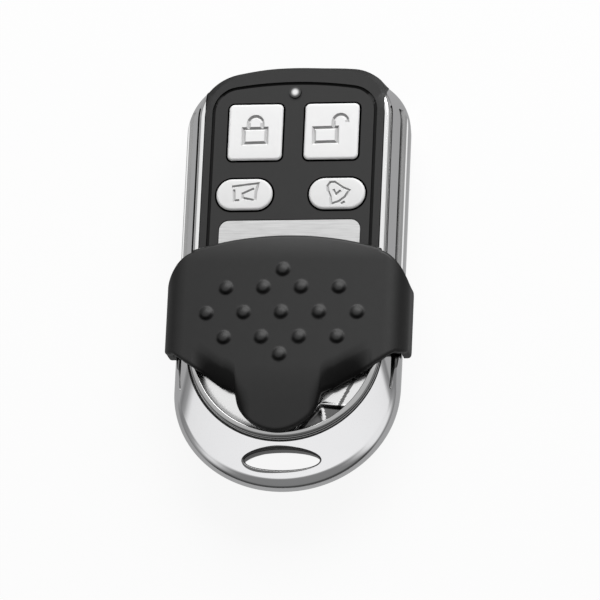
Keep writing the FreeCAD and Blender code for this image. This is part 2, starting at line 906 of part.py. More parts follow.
def board_block(label, x, y, width, depth, height):
    """A plain component that stands on the board's upper face."""
    return box(
        f"{label}_block",
        (f"{x} - {width} / 2", f"{y} - {depth} / 2", "board_top"),
        (f"{x} + {width} / 2", f"{y} + {depth} / 2", f"board_top + {height}"),
    )


def board_parts():
    """Diode, encoder chip with its leads, resonator can, transistor and chip components."""
    led = board_block("led", "0", LED_Y, "led_width", "led_width / 2", "led_height")
    finish(led, "indicator_led")
    chip = board_block("chip", "0", "chip_y", "chip_width", "chip_depth", "chip_height")
    leads = []
    for index in range(7):
        middle = f"{index - 3} * chip_pitch"
        reach = "chip_depth / 2 + chip_lead_reach"
        leads.append(
            box(
                f"chip_lead_{index}",
                (f"{middle} - chip_lead_width / 2", f"chip_y - ({reach})", "board_top"),
                (
                    f"{middle} + chip_lead_width / 2",
                    f"chip_y + {reach}",
                    "board_top + chip_lead_wall",
                ),
            )
        )
    finish(fuse("chip_with_leads", chip, *leads), "encoder_chip")
    can = board_block(
        "can", "0", "resonator_y", "resonator_width", "resonator_depth", "resonator_height"
    )
    rounding = doc.addObject("Part::Fillet", "can_rounded")
    rounding.Base = can
    doc.recompute()
    upright = [
        index
        for index, edge in enumerate(can.Shape.Edges, start=1)
        if edge.BoundBox.ZLength > dim.resonator_height / 2
    ]
    radius = dim.resonator_corner
    rounding.Edges = [(index, radius, radius) for index in upright]
    finish(rounding, "resonator")
    transistor = board_block(
        "transistor", "0", "parts_row_y", "transistor_width", "transistor_depth",
        "transistor_height",
    )
    finish(transistor, "transmitter_transistor")
    for label, sign in (("chip_resistors", "-"), ("chip_capacitors", "")):
        group = []
        for index in range(4):
            middle = f"{sign}(passive_first_x + {index} * passive_pitch)"
            group.append(
                board_block(
                    f"{label}_{index}", middle, "parts_row_y", "passive_width", "passive_depth",
                    "passive_height",
                )
            )
        set_of_chips = doc.addObject("Part::Compound", f"{label}_group")
        set_of_chips.Links = group
        finish(set_of_chips, label)


def antenna_loop():
    """Flat copper loop on the board's lower face, open at its low side."""
    level = ("board_top - board_wall - antenna_wall", "board_top - board_wall")
    outer = box(
        "antenna_outer",
        ("-antenna_half_width", "antenna_low", level[0]),
        ("antenna_half_width", "antenna_high", level[1]),
    )
    inner = box(
        "antenna_inner",
        ("-antenna_half_width + antenna_track", "antenna_low - antenna_track", f"{level[0]} - 1"),
        ("antenna_half_width - antenna_track", "antenna_high - antenna_track", f"{level[1]} + 1"),
    )
    return finish(cut("antenna", outer, inner), "antenna_loop")


def battery():
    """Twelve volt cylinder cell, laid across the body, with a raised positive end."""
    start = "-battery_length / 2"
    can = rod(
        "battery_can", (start, "battery_y", "battery_z"), "battery_radius",
        "battery_length - battery_nub", "x",
    )
    nub = rod(
        "battery_cap", ("battery_length / 2 - battery_nub", "battery_y", "battery_z"),
        "battery_nub_radius", "battery_nub", "x",
    )
    return finish(fuse("battery_cell", can, nub), "battery")


def contact_strip(name, side):
    """Upright plate at one end of the battery, with an arm and a foot on the board."""
    near = "battery_length / 2" if side > 0 else "battery_length / 2 + leaf_bulge"
    far = f"{near} + contact_wall"
    rows = {
        "plate": (
            (near, "battery_y - contact_half_depth", "contact_low"),
            (far, "battery_y + contact_half_depth", "contact_high"),
        ),
        "arm": (
            (near, "battery_y + contact_half_depth", "board_top - board_wall"),
            (far, "board_low + contact_foot", "board_top + contact_wall"),
        ),
        "foot": (
            (f"{near} - contact_foot", "board_low + contact_wall", "board_top"),
            (far, "board_low + contact_foot", "board_top + contact_wall"),
        ),
    }
    pieces = []
    for part, (low, high) in rows.items():
        if side < 0:
            low, high = (f"-({high[0]})", *low[1:]), (f"-({low[0]})", *high[1:])
        pieces.append(box(f"{name}_{part}", low, high))
    return pieces


def positive_contact():
    return finish(fuse("positive_strip", *contact_strip("positive", 1)), "battery_contact_positive")


def negative_contact():
    """The same strip with a bowed leaf that presses on the cell's flat end."""
    pieces = contact_strip("negative", -1)
    root = -(dim.battery_length / 2 + dim.leaf_bulge)
    reach = dim.leaf_half_depth
    middle = dim.battery_y
    outer = Part.Arc(
        Vector(root, middle - reach, 0),
        Vector(root + dim.leaf_bulge, middle, 0),
        Vector(root, middle + reach, 0),
    )
    inner = Part.Arc(
        Vector(root, middle + reach - 2 * dim.leaf_wall, 0),
        Vector(root + dim.leaf_bulge - dim.leaf_wall, middle, 0),
        Vector(root, middle - reach + 2 * dim.leaf_wall, 0),
    )
    ends = [
        Part.LineSegment(Vector(root, middle + reach, 0), inner.StartPoint),
        Part.LineSegment(inner.EndPoint, Vector(root, middle - reach, 0)),
    ]
    sketch = doc.addObject("Sketcher::SketchObject", "leaf_plan")
    sketch.addGeometry([outer, ends[0], inner, ends[1]], False)
    leaf = raise_plan("leaf", sketch, "battery_z - leaf_half_height", "battery_z + leaf_half_height")
    return finish(fuse("negative_strip", *pieces, leaf), "battery_contact_negative")


def screw_places():
    """Name and plan position of each case screw."""
    return (
        ("left", "-screw_x", "screw_y"),
        ("right", "screw_x", "screw_y"),
        ("tail", "0", "tail_screw_y"),
    )


def rear_shell():
    """Flat-backed moulding with a locating rim, battery cradle, board posts and screw towers."""
    length = dim.body_half_length
    widest = dim.belly_half_width
    back = oval_outline(
        "rear_back_outline", widest - dim.rear_inset, length - dim.rear_inset,
        dim.seat_end - dim.rear_inset + dim.seat_inset,
        dim.seat_oval - dim.rear_inset + dim.seat_inset,
        dim.corner_radius - dim.rear_inset, "0",
    )
    seat = oval_outline(
        "rear_seat_outline", widest - dim.seat_inset, length - dim.seat_inset, dim.seat_end,
        dim.seat_oval, dim.corner_radius - dim.seat_inset / 2, "seat_level",
    )
    base = loft("rear_base", [back, seat])
    rim_half = widest - dim.cavity_inset - dim.rim_gap
    rim_plan = oval_outline(
        "rim_plan", rim_half, length, dim.cavity_end - dim.rim_gap, dim.cavity_oval - dim.rim_gap,
        dim.hollow_corner, "0",
    )
    rim = raise_plan("rim_block", rim_plan, "seat_level", "rim_top")
    tray_plan = oval_outline(
        "tray_plan", rim_half - dim.rim_wall, length, dim.cavity_end - dim.rim_gap - dim.rim_wall,
        dim.cavity_oval - dim.rim_gap - dim.rim_wall, dim.hollow_corner, "0",
    )
    tray = raise_plan("tray", tray_plan, "rear_floor", "rim_top + 1")
    top_end = box(
        "rim_top_end",
        ("-belly_half_width", "rim_high", "seat_level"),
        ("belly_half_width", "body_half_length + 1", "rim_top + 1"),
    )
    rim_ring = cut("rim_ring", rim, tray, top_end)
    hook = box(
        "top_hook",
        ("-hook_half_width", "body_half_length - hood_wall - 3 * rim_gap - rim_wall", "seat_level / 2"),
        ("hook_half_width", "body_half_length - hood_wall - 3 * rim_gap", "hook_top"),
    )
    towers = []
    sinks = []
    for name, x, y in screw_places():
        towers.append(
            box(
                f"{name}_tower",
                (f"{x} - tower_half_width", f"{y} - tower_half_width", "seat_level / 2"),
                (f"{x} + tower_half_width", f"{y} + tower_half_width", "tower_top"),
            )
        )
        sinks.append(
            rod(
                f"{name}_head_sink", (x, y, "-1"), "screw_head_radius + screw_head_gap",
                "1 + screw_head_sink + screw_head_height",
            )
        )
        sinks.append(
            rod(f"{name}_screw_hole", (x, y, "-1"), "boss_hole + screw_head_gap", "tower_top + 2")
        )
    posts = [
        box(
            f"{name}_post",
            (f"{x} - post_half_width", f"{y} - post_half_width", "seat_level / 2"),
            (f"{x} + post_half_width", f"{y} + post_half_width", "board_top - board_wall"),
        )
        for name, x, y in (
            ("left", "-side_post_x", "side_post_y"),
            ("right", "side_post_x", "side_post_y"),
            ("high", "0", "middle_post_high"),
            ("low", "0", "middle_post_low"),
        )
    ]
    cradles = [
        box(
            f"{name}_cradle",
            (f"{x} - cradle_wall / 2", "battery_y - battery_radius", "seat_level / 2"),
            (f"{x} + cradle_wall / 2", "battery_y + battery_radius", "cradle_top"),
        )
        for name, x in (("left", "-cradle_x"), ("right", "cradle_x"))
    ]
    cell_space = rod(
        "cell_space", ("-belly_half_width", "battery_y", "battery_z"),
        "battery_radius + battery_gap / 4", "2 * belly_half_width", "x",
    )
    solid = fuse("rear_solid", base, rim_ring, hook, *towers, *posts, *cradles)
    return finish(cut("rear_body", solid, cell_space, *sinks), "rear_shell")


def case_screws():
    """Three self-tapping screws with cross-cut pan heads, kept as one group."""
    screws = []
    for name, x, y in screw_places():
        head = rod(
            f"{name}_screw_head", (x, y, "screw_head_sink"), "screw_head_radius",
            "screw_head_height",
        )
        shank = rod(
            f"{name}_screw_shank", (x, y, "screw_head_sink + screw_head_height / 2"),
            "screw_radius", "screw_length - screw_head_sink",
        )
        slots = [
            box(
                f"{name}_slot_{turn}",
                (f"{x} - {wide} / 2", f"{y} - {deep} / 2", "0"),
                (f"{x} + {wide} / 2", f"{y} + {deep} / 2", "screw_head_sink + screw_slot_depth"),
            )
            for turn, wide, deep in (
                ("across", "screw_slot_length", "screw_slot_width"),
                ("along", "screw_slot_width", "screw_slot_length"),
            )
        ]
        screws.append(cut(f"{name}_screw", fuse(f"{name}_screw_blank", head, shank), *slots))
    group = doc.addObject("Part::Compound", "screw_group")
    group.Links = screws
    return finish(group, "case_screws")


def cover_plan():
    """Plan of the cover: arched top edge, ears beside the rails, hips and a round thumb tongue."""
    half = dim.belly_half_width + dim.cover_side_gap + dim.cover_wall + dim.ear_margin
    corner = Vector(dim.cover_corner_x, dim.cover_corner_y, 0)
    ear = Vector(half, dim.ear_top, 0)
    across, along = half - corner.x, corner.y - ear.y
    radius = (across**2 + along**2) / (2 * across)
    turn = math.asin(along / radius) / 2
    bend = Vector(
        half - radius + radius * math.cos(turn), dim.ear_top + radius * math.sin(turn), 0
    )
    ear_foot = Vector(half, dim.ear_low + dim.ear_round, 0)
    diagonal = dim.ear_round * (1 - math.sqrt(0.5))
    ear_bend = Vector(half - diagonal, dim.ear_low + diagonal, 0)
    hip = Vector(half - dim.ear_round, dim.ear_low, 0)
    waist = Vector(dim.waist_x, dim.waist_y, 0)
    root = Vector(dim.tongue_half_width, dim.tongue_root, 0)
    waist_bend = (waist + root) / 2 + Vector(-dim.waist_hollow, dim.waist_hollow, 0)
    tongue = half_oval(
        dim.tongue_root, dim.tongue_half_width, dim.tongue_root - dim.tongue_end
    )

    def mirrored(*points):
        return [Vector(-point.x, point.y, 0) for point in reversed(points)]

    return closed_wire(
        "cover_outline",
        [
            tongue,
            Part.Arc(root, waist_bend, waist),
            Part.LineSegment(waist, hip),
            Part.Arc(hip, ear_bend, ear_foot),
            Part.LineSegment(ear_foot, ear),
            Part.Arc(ear, bend, corner),
            Part.Arc(corner, Vector(0, dim.cover_edge, 0), *mirrored(corner)),
            Part.Arc(*mirrored(ear, bend, corner)),
            Part.LineSegment(*mirrored(ear_foot, ear)),
            Part.Arc(*mirrored(hip, ear_bend, ear_foot)),
            Part.LineSegment(*mirrored(waist, hip)),
            Part.Arc(*mirrored(root, waist_bend, waist)),
        ],
    )


def closed_wire(name, curves):
    """An outline whose arcs turn both ways, kept as a feature of its own."""
    outline = doc.addObject("Part::Feature", name)
    outline.Shape = Part.Wire([curve.toShape() for curve in curves])
    return outline


def cover_pocket():
    """Plan of the space under the cover, which stops short of the hips and the tongue."""
    rim = dim.cover_rim
    half = dim.belly_half_width + dim.cover_wall
    right = [
        Vector(half, 2 * dim.cover_edge, 0),
        Vector(half, dim.ear_low + rim, 0),
        Vector(dim.pocket_hip_x - rim, dim.pocket_hip_y + 2 * rim, 0),
        Vector(dim.waist_x - rim, dim.waist_y + 2 * rim, 0),
    ]
    corners = right + [Vector(-point.x, point.y, 0) for point in reversed(right)]
    count = len(corners)
    lines = [Part.LineSegment(corners[i - 1], corners[i]) for i in range(count)]
    return closed_sketch("cover_pocket_plan", lines)


def cover_section(name, inset, bottom, low, high):
    """The cover's cross-section, set in from its outer face and run along Y."""
    profile = square_outline(
        f"{name}_profile",
        dim.belly_half_width + dim.cover_side_gap + dim.cover_wall - inset,
        dim.cover_top - inset,
        bottom,
        dim.cover_shoulder - inset,
        dim.cover_crown,
    )
    return run_profile(name, profile, low, high)


def cover_side():
    """Side view of the cover, whose face falls away along the tongue and at the top edge."""
    beyond = dim.cover_rim
    rise = dim.cover_crown_rise
    tongue_slope = dim.tongue_drop / (dim.waist_y - dim.tongue_end)
    edge_slope = dim.cover_edge_drop / (dim.cover_edge - dim.brow_y)
    foot = dim.cover_bottom - beyond
    corners = [
        Vector(dim.tongue_end - beyond, foot, 0),
        Vector(dim.cover_edge + beyond, foot, 0),
        Vector(
            dim.cover_edge + beyond,
            dim.cover_top - dim.cover_edge_drop - beyond * edge_slope,
            0,
        ),
        Vector(dim.brow_y - rise / edge_slope, dim.cover_top + rise, 0),
        Vector(dim.waist_y + rise / tongue_slope, dim.cover_top + rise, 0),
        Vector(
            dim.tongue_end - beyond,
            dim.cover_top - dim.tongue_drop - beyond * tongue_slope,
            0,
        ),
    ]
    lines = [Part.LineSegment(corners[i - 1], corners[i]) for i in range(len(corners))]
    sketch = closed_sketch("cover_side_profile", lines)
    sketch.Placement = Placement(Vector(), Rotation(Vector(1, 1, 1), 120))
    bind(sketch, "Placement.Base.x", "-2 * belly_half_width")
    prism = doc.addObject("Part::Extrusion", "cover_side")
    prism.Base = sketch
    prism.Dir = Vector(1, 0, 0)
    prism.DirMode = "Custom"
    prism.Solid = True
    bind(prism, "LengthFwd", "4 * belly_half_width")
    return prism


def slide_cover():
    """Soft-touch cover that hooks round both rails, with fifteen grip bumps and a thumb tongue."""
    outer = cover_section(
        "cover_outer", 0.0, dim.cover_bottom, "-body_half_length", "2 * cover_edge"
    )
    inner = cover_section(
        "cover_inner", dim.cover_wall, dim.cover_bottom - 1, "-body_half_length - 1", "3 * cover_edge"
    )
    under = box(
        "cover_under",
        ("-(belly_half_width + cover_wall)", "-body_half_length - 2", "cover_bottom - 2"),
        ("belly_half_width + cover_wall", "4 * cover_edge", "panel_level + cover_lift"),
    )
    plan_prism = raise_plan(
        "cover_plan_prism", cover_plan(), "cover_bottom - 1", "cover_top + 1"
    )
    pocket_prism = raise_plan(
        "cover_pocket_prism", cover_pocket(), "cover_bottom - 1", "cover_top + 1"
    )
    blank = common("cover_blank", outer, plan_prism, cover_side())
    space = fuse("cover_space", pocket_prism, under)
    hollow = common("cover_hollow", inner, space)
    shell = cut("cover_shell", blank, hollow)
    pieces = [shell]
    for name, sign in (("left", -1), ("right", 1)):
        reach = "belly_half_width - guide_inset - groove_depth + lip_reach_gap"
        root = "belly_half_width + cover_side_gap + cover_wall / 2"
        low, high = (reach, root) if sign > 0 else (f"-({root})", f"-({reach})")
        pieces.append(
            box(
                f"{name}_lip",
                (low, "ear_low + ear_round", "guide_level - groove_height / 2 + lip_gap"),
                (high, "lip_top", "guide_level + groove_height / 2 - lip_gap"),
            )
        )
    pieces += bumps()
    return finish(fuse("cover_body", *pieces), "slide_cover")


def bump_places():
    """Rows of one, four, five, four and one bump, staggered by half a pitch."""
    rows = (
        ("bump_middle_y + bump_far_row", 1),
        ("bump_middle_y + bump_row", 4),
        ("bump_middle_y", 5),
        ("bump_middle_y - bump_row", 4),
        ("bump_middle_y - bump_far_row", 1),
    )
    for y, count in rows:
        for index in range(count):
            yield f"{index - (count - 1) / 2} * bump_pitch", y


def bumps():
    """Grip bumps: low many-sided posts with a tapered flank, set in the crowned face."""
    posts = []
    for index, (x, y) in enumerate(bump_places()):
        face = f"cover_top - cover_crown + sqrt(cover_crown ^ 2 - ({x}) ^ 2)"
        rings = []
        for end, sign in (("foot", "-"), ("head", "+")):
            ring = doc.addObject("Part::RegularPolygon", f"bump_{index}_{end}")
            ring.Polygon = BUMP_SIDES
            bind(ring, "Circumradius", f"bump_radius {'+' if sign == '-' else '-'} bump_taper")
            bind(ring, "Placement.Base.x", x)
            bind(ring, "Placement.Base.y", y)
            bind(ring, "Placement.Base.z", f"{face} {sign} bump_rise")
            rings.append(ring)
        posts.append(loft(f"bump_{index}", rings))
    return posts


def check(thing):
    """Stop when a feature failed or a sub-part's shape is missing or broken."""
    if "Invalid" in thing.State or "Error" in thing.State:
        raise RuntimeError(f"{thing.Name} failed: {thing.State}")


form = outer_form()
chrome_frame(form)
front_shell(form)
rear_shell()
label_plate()
indicator_lens()
circuit_board()
board_parts()
antenna_loop()
battery()
positive_contact()
negative_contact()
case_screws()
slide_cover()
for key in KEYS:
    key_cap(*key)
    switch_base(*key)
    switch_stem(*key)
doc.recompute()

for thing in doc.Objects:
    check(thing)
os.makedirs("parts", exist_ok=True)
for node in nodes:
    if node.Shape.isNull() or not node.Shape.isValid():
        raise RuntimeError(f"{node.Label} has no valid shape")
    node.Shape.exportStep(f"parts/{node.Label}.step")
    print(f"{node.Label}: {len(node.Shape.Solids)} solid, {node.Shape.Volume:.1f} mm3")
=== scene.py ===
import math

import bmesh
import bpy
from mathutils import Matrix, Vector


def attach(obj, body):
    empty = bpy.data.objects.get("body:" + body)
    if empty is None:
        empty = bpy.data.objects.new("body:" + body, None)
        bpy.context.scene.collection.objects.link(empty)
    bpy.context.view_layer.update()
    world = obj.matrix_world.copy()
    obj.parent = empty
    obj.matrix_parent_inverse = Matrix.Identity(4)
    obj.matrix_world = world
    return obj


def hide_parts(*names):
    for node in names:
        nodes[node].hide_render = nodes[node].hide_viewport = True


# Looks of the door opener remote. Shapes are given in millimetres in the shared frame:
# X across the keys, Y along the body towards the indicator, Z out of the keys.

MM = 0.001

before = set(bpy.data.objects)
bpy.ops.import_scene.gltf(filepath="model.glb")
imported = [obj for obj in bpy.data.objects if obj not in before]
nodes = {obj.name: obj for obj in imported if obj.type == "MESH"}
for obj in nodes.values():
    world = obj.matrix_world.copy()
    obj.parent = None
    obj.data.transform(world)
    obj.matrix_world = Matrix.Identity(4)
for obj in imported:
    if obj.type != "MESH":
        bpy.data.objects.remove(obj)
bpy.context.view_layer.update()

# Materials


def new_material(name):
    material = bpy.data.materials.new(name)
    material.use_nodes = True
    tree = material.node_tree
    tree.nodes.clear()
    output = tree.nodes.new("ShaderNodeOutputMaterial")
    shader = tree.nodes.new("ShaderNodeBsdfPrincipled")
    tree.links.new(shader.outputs["BSDF"], output.inputs["Surface"])
    return material, tree, shader


def object_noise(tree, scale, detail=3.0, stretch=(1.0, 1.0, 1.0)):
    """Noise over object coordinates, per metre, with its own stretch."""
    place = tree.nodes.new("ShaderNodeTexCoord")
    mapping = tree.nodes.new("ShaderNodeMapping")
    mapping.inputs["Scale"].default_value = stretch
    noise = tree.nodes.new("ShaderNodeTexNoise")
    noise.inputs["Scale"].default_value = scale
    noise.inputs["Detail"].default_value = detail
    tree.links.new(place.outputs["Object"], mapping.inputs["Vector"])
    tree.links.new(mapping.outputs["Vector"], noise.inputs["Vector"])
    return noise.outputs["Fac"]


# most of the noise's values lie between these two
NOISE_LOW, NOISE_HIGH = 0.3, 0.7


def vary(tree, value, low, high):
    """Map a noise value to a narrow range."""
    spread = tree.nodes.new("ShaderNodeMapRange")
    spread.inputs["From Min"].default_value = NOISE_LOW
    spread.inputs["From Max"].default_value = NOISE_HIGH
    spread.inputs["To Min"].default_value = low
    spread.inputs["To Max"].default_value = high
    tree.links.new(value, spread.inputs["Value"])
    return spread.outputs["Result"]


def tint(tree, value, dark, light):
    mix = tree.nodes.new("ShaderNodeMix")
    mix.data_type = "RGBA"
    mix.inputs["A"].default_value = (*dark, 1.0)
    mix.inputs["B"].default_value = (*light, 1.0)
    tree.links.new(value, mix.inputs["Factor"])
    return mix.outputs["Result"]


def bump(tree, shader, value, distance, strength=1.0):
    relief = tree.nodes.new("ShaderNodeBump")
    relief.inputs["Distance"].default_value = distance
    relief.inputs["Strength"].default_value = strength
    tree.links.new(value, relief.inputs["Height"])
    tree.links.new(relief.outputs["Normal"], shader.inputs["Normal"])


def grey(low, high):
    return (low, low, low), (high, high, high)


# sizes of the noises, per metre, and depths of the reliefs, in metres
MOULD_GRAIN, MOULD_PATCHES, MOULD_DEPTH = 9000.0, 750.0, 4e-6
BRUSH_GRAIN, BRUSH_DETAIL, BRUSH_DEPTH = 2500.0, 4.0, 3e-6
PLATING_CLOUD, PLATING_WAVE, PLATING_DEPTH = 120.0, 500.0, 2e-6


def moulded_nodes(name, shades, rough, specular):
    material, tree, shader = new_material(name)
    grain = object_noise(tree, MOULD_GRAIN)
    patches = object_noise(tree, MOULD_PATCHES)
    tree.links.new(tint(tree, patches, *shades), shader.inputs["Base Color"])
    tree.links.new(vary(tree, grain, rough * 0.9, rough * 1.1), shader.inputs["Roughness"])
    shader.inputs["Specular IOR Level"].default_value = specular
    bump(tree, shader, grain, MOULD_DEPTH)
    return material, tree, shader


def moulded(name, shades, rough, specular=0.5):
    """A plastic, resin or coated metal with a faint grain."""
    return moulded_nodes(name, shades, rough, specular)[0]


def shaded(name, shades, rough, specular, deepest):
    """A plastic whose sheen is cut, as painted shade, where the mesh attribute "shade" is high."""
    material, tree, shader = moulded_nodes(name, shades, rough, specular)
    attribute = tree.nodes.new("ShaderNodeAttribute")
    attribute.attribute_name = "shade"
    spread = tree.nodes.new("ShaderNodeMapRange")
    spread.inputs["To Min"].default_value = specular
    spread.inputs["To Max"].default_value = deepest
    tree.links.new(attribute.outputs["Fac"], spread.inputs["Value"])
    tree.links.new(spread.outputs["Result"], shader.inputs["Specular IOR Level"])
    return material


def brushed(name, shades, rough, stretch, grain=BRUSH_GRAIN):
    """Metal with fine lines along one axis."""
    material, tree, shader = new_material(name)
    lines = object_noise(tree, grain, BRUSH_DETAIL, stretch)
    spread = vary(tree, lines, 0.0, 1.0)
    tree.links.new(tint(tree, spread, *shades), shader.inputs["Base Color"])
    tree.links.new(vary(tree, lines, rough * 0.8, rough * 1.2), shader.inputs["Roughness"])
    shader.inputs["Metallic"].default_value = 1.0
    bump(tree, shader, lines, BRUSH_DEPTH)
    return material


def polish(tree, shader, rough):
    """Make the shader bare metal whose roughness follows a soft noise, and return that noise."""
    cloud = object_noise(tree, PLATING_CLOUD)
    tree.links.new(vary(tree, cloud, rough * 0.85, rough * 1.2), shader.inputs["Roughness"])
    shader.inputs["Metallic"].default_value = 1.0
    return cloud


def plated(name, shades, rough):
    """Bright plating in one shade, with a hardly visible wave."""
    material, tree, shader = new_material(name)
    cloud = polish(tree, shader, rough)
    tree.links.new(tint(tree, cloud, *shades), shader.inputs["Base Color"])
    bump(tree, shader, object_noise(tree, PLATING_WAVE, 1.0), PLATING_DEPTH, 0.4)
    return material


def shade_over(tree, shader, length, start, stop, greys):
    """Base colour that goes from one grey to another while a length goes from start to stop."""
    spread = tree.nodes.new("ShaderNodeMapRange")
    spread.interpolation_type = "SMOOTHSTEP"
    spread.inputs["From Min"].default_value = start * MM
    spread.inputs["From Max"].default_value = stop * MM
    tree.links.new(length, spread.inputs["Value"])
    tree.links.new(tint(tree, spread.outputs["Result"], *greys), shader.inputs["Base Color"])


def graded_painted_shade(name, greys, start, stop, rough):
    """Plating with painted shade, from one grey to another along the body, from start to stop on
    Y.
    """
    material, tree, shader = new_material(name)
    place = tree.nodes.new("ShaderNodeTexCoord")
    split = tree.nodes.new("ShaderNodeSeparateXYZ")
    tree.links.new(place.outputs["Object"], split.inputs["Vector"])
    shade_over(tree, shader, split.outputs["Y"], start, stop, greys)
    polish(tree, shader, rough)
    return material


LENS_PLACE = (0.0, 29.1, 11.7)
# distances from the lens's middle in millimetres over which its painted highlight fades into
# painted shade
LENS_BRIGHT, LENS_DIM = 0.2, 0.75


def painted_lens_light(name, greys, rough):
    """Clear resin with a painted highlight in the middle and painted shade round it."""
    material, tree, shader = new_material(name)
    place = tree.nodes.new("ShaderNodeTexCoord")
    centre = tree.nodes.new("ShaderNodeVectorMath")
    centre.operation = "DISTANCE"
    centre.inputs[1].default_value = [c * MM for c in LENS_PLACE]
    tree.links.new(place.outputs["Object"], centre.inputs[0])
    shade_over(tree, shader, centre.outputs["Value"], LENS_BRIGHT, LENS_DIM, greys)
    shader.inputs["Roughness"].default_value = rough
    return material


chrome = plated("bright_chrome", ((0.80, 0.80, 0.81), (0.86, 0.86, 0.87)), 0.08)
# painted shade: darker plating for the ring's bore, and painted dark reflection in the deck's dish
# and on a line across it
chrome_painted_shade = plated("chrome_painted_shade", grey(0.12, 0.16), 0.25)
# painted shade: darker plating in the notch and on the inner wall
notch_and_wall_painted_shade = plated("notch_and_wall_painted_shade", grey(0.26, 0.32), 0.25)
# painted shade: the ledge, the groove's floor and its lip grow darker towards the ring end
ledge_painted_shade = graded_painted_shade("ledge_painted_shade", grey(0.83, 0.42), -11.0, -16.5, 0.1)
groove_floor_painted_shade = graded_painted_shade("groove_floor_painted_shade", grey(0.29, 0.13), -4.0, -11.0, 0.25)
groove_lip_painted_shade = graded_painted_shade("groove_lip_painted_shade", grey(0.83, 0.29), -4.0, -11.0, 0.1)
# painted reflection: mid-grey plating on the deck's facet and rim
painted_grey_reflection = plated("painted_grey_reflection", grey(0.40, 0.46), 0.25)
deck_chrome = plated("deck_chrome", grey(0.78, 0.84), 0.2)
panel_black = moulded("panel_black", grey(0.010, 0.013), 0.45, specular=0.34)
# painted shade: the cover's sheen is cut where its attribute "shade" is high
cover_black_painted_shade = shaded("cover_soft_touch_painted_shade", grey(0.006, 0.009), 0.45, 0.35, 0.07)
# painted shadow: near-black for the gaps round the keys and the lower sides of the caps
gap_painted_shadow = moulded("gap_painted_shadow", grey(0.002, 0.003), 0.8, specular=0.05)
# painted shade: darker black in the fine groove round the keys
trim_groove_painted_shade = moulded("trim_groove_painted_shade", grey(0.004, 0.006), 0.6, specular=0.14)
key_grey = moulded("key_pale", grey(0.88, 0.93), 0.45)
# painted shade on the walls of the engravings, by the way they face
engraving_painted_shade = moulded("engraving_painted_shade", grey(0.28, 0.34), 0.6, specular=0.2)
engraving_painted_half_shade = moulded("engraving_painted_half_shade", grey(0.60, 0.68), 0.6, specular=0.2)
pill_grey = moulded("pill_pale", grey(0.80, 0.86), 0.45)
label_metal = brushed("label_brushed", grey(0.44, 0.50), 0.4, (0.05, 1.0, 1.0), 6000.0)
# painted highlight in the lens's middle, painted shade round it
lens_painted_highlight = painted_lens_light("lens_middle_painted_highlight", grey(0.9, 0.04), 0.2)
laminate = moulded("board_green", ((0.02, 0.12, 0.05), (0.03, 0.16, 0.07)), 0.4)
resin = moulded("chip_resin", grey(0.015, 0.025), 0.5)
ceramic = moulded("capacitor_ceramic", ((0.33, 0.22, 0.12), (0.40, 0.28, 0.16)), 0.4)
tinned = brushed("tinned_can", grey(0.55, 0.66), 0.3, (1.0, 0.05, 1.0))
copper = brushed("copper_track", ((0.62, 0.30, 0.16), (0.72, 0.38, 0.22)), 0.3, (1.0, 0.05, 1.0))
cell_metal = brushed("cell_can", ((0.50, 0.46, 0.36), (0.60, 0.56, 0.46)), 0.3, (0.05, 1.0, 1.0))
nickel = brushed("contact_nickel", grey(0.58, 0.68), 0.25, (1.0, 1.0, 0.05))
zinc = brushed("screw_zinc", grey(0.30, 0.42), 0.35, (1.0, 0.2, 1.0))
switch_dark = moulded("switch_case", grey(0.03, 0.045), 0.5)
switch_pale = moulded("switch_plunger", ((0.55, 0.52, 0.45), (0.62, 0.59, 0.52)), 0.5)
diode = moulded("diode_resin", ((0.75, 0.72, 0.60), (0.85, 0.82, 0.70)), 0.2)

NODE_FINISH = {
    "chrome_frame": chrome,
    "front_shell": panel_black,
    "rear_shell": panel_black,
    "label_plate": label_metal,
    "indicator_lens": lens_painted_highlight,
    "circuit_board": laminate,
    "indicator_led": diode,
    "encoder_chip": resin,
    "resonator": tinned,
    "transmitter_transistor": resin,
    "chip_resistors": resin,
    "chip_capacitors": ceramic,
    "antenna_loop": copper,
    "battery": cell_metal,
    "battery_contact_positive": nickel,
    "battery_contact_negative": nickel,
    "case_screws": zinc,
    "slide_cover": cover_black_painted_shade,
}
for key in ("lock", "unlock", "boot", "alarm"):
    NODE_FINISH[f"{key}_button"] = key_grey if key in ("lock", "unlock") else pill_grey
    NODE_FINISH[f"{key}_switch_base"] = switch_dark
    NODE_FINISH[f"{key}_switch_stem"] = switch_pale

# Mesh helpers

# welding distance in metres, and angles in degrees from which an edge stays sharp
WELD = 1e-7
SHARP = 30.0
SHARP_SMALL = 35.0


def soften(mesh, angle):
    mesh.shade_smooth()
    mesh.set_sharp_from_angle(angle=math.radians(angle))


def sharpen_borders(mesh):
    """Hard shading along the edges where two materials meet."""
    first, borders = {}, set()
    for polygon in mesh.polygons:
        for key in polygon.edge_keys:
            if first.setdefault(key, polygon.material_index) != polygon.material_index:
                borders.add(key)
    for edge in mesh.edges:
        if edge.key in borders:
            edge.use_edge_sharp = True


def skin(loops, closed=True):
    """A grid laid on loops of points, in millimetres; closed loops meet their own start."""
    if closed:
        loops = [[*loop, loop[0]] for loop in loops]
    shape = bmesh.new()
    bmesh.ops.create_grid(
        shape, x_segments=len(loops[0]) - 1, y_segments=len(loops) - 1, size=1.0
    )
    for vert, point in zip(shape.verts, [point for loop in loops for point in loop]):
        vert.co = [c * MM for c in point]
    return shape


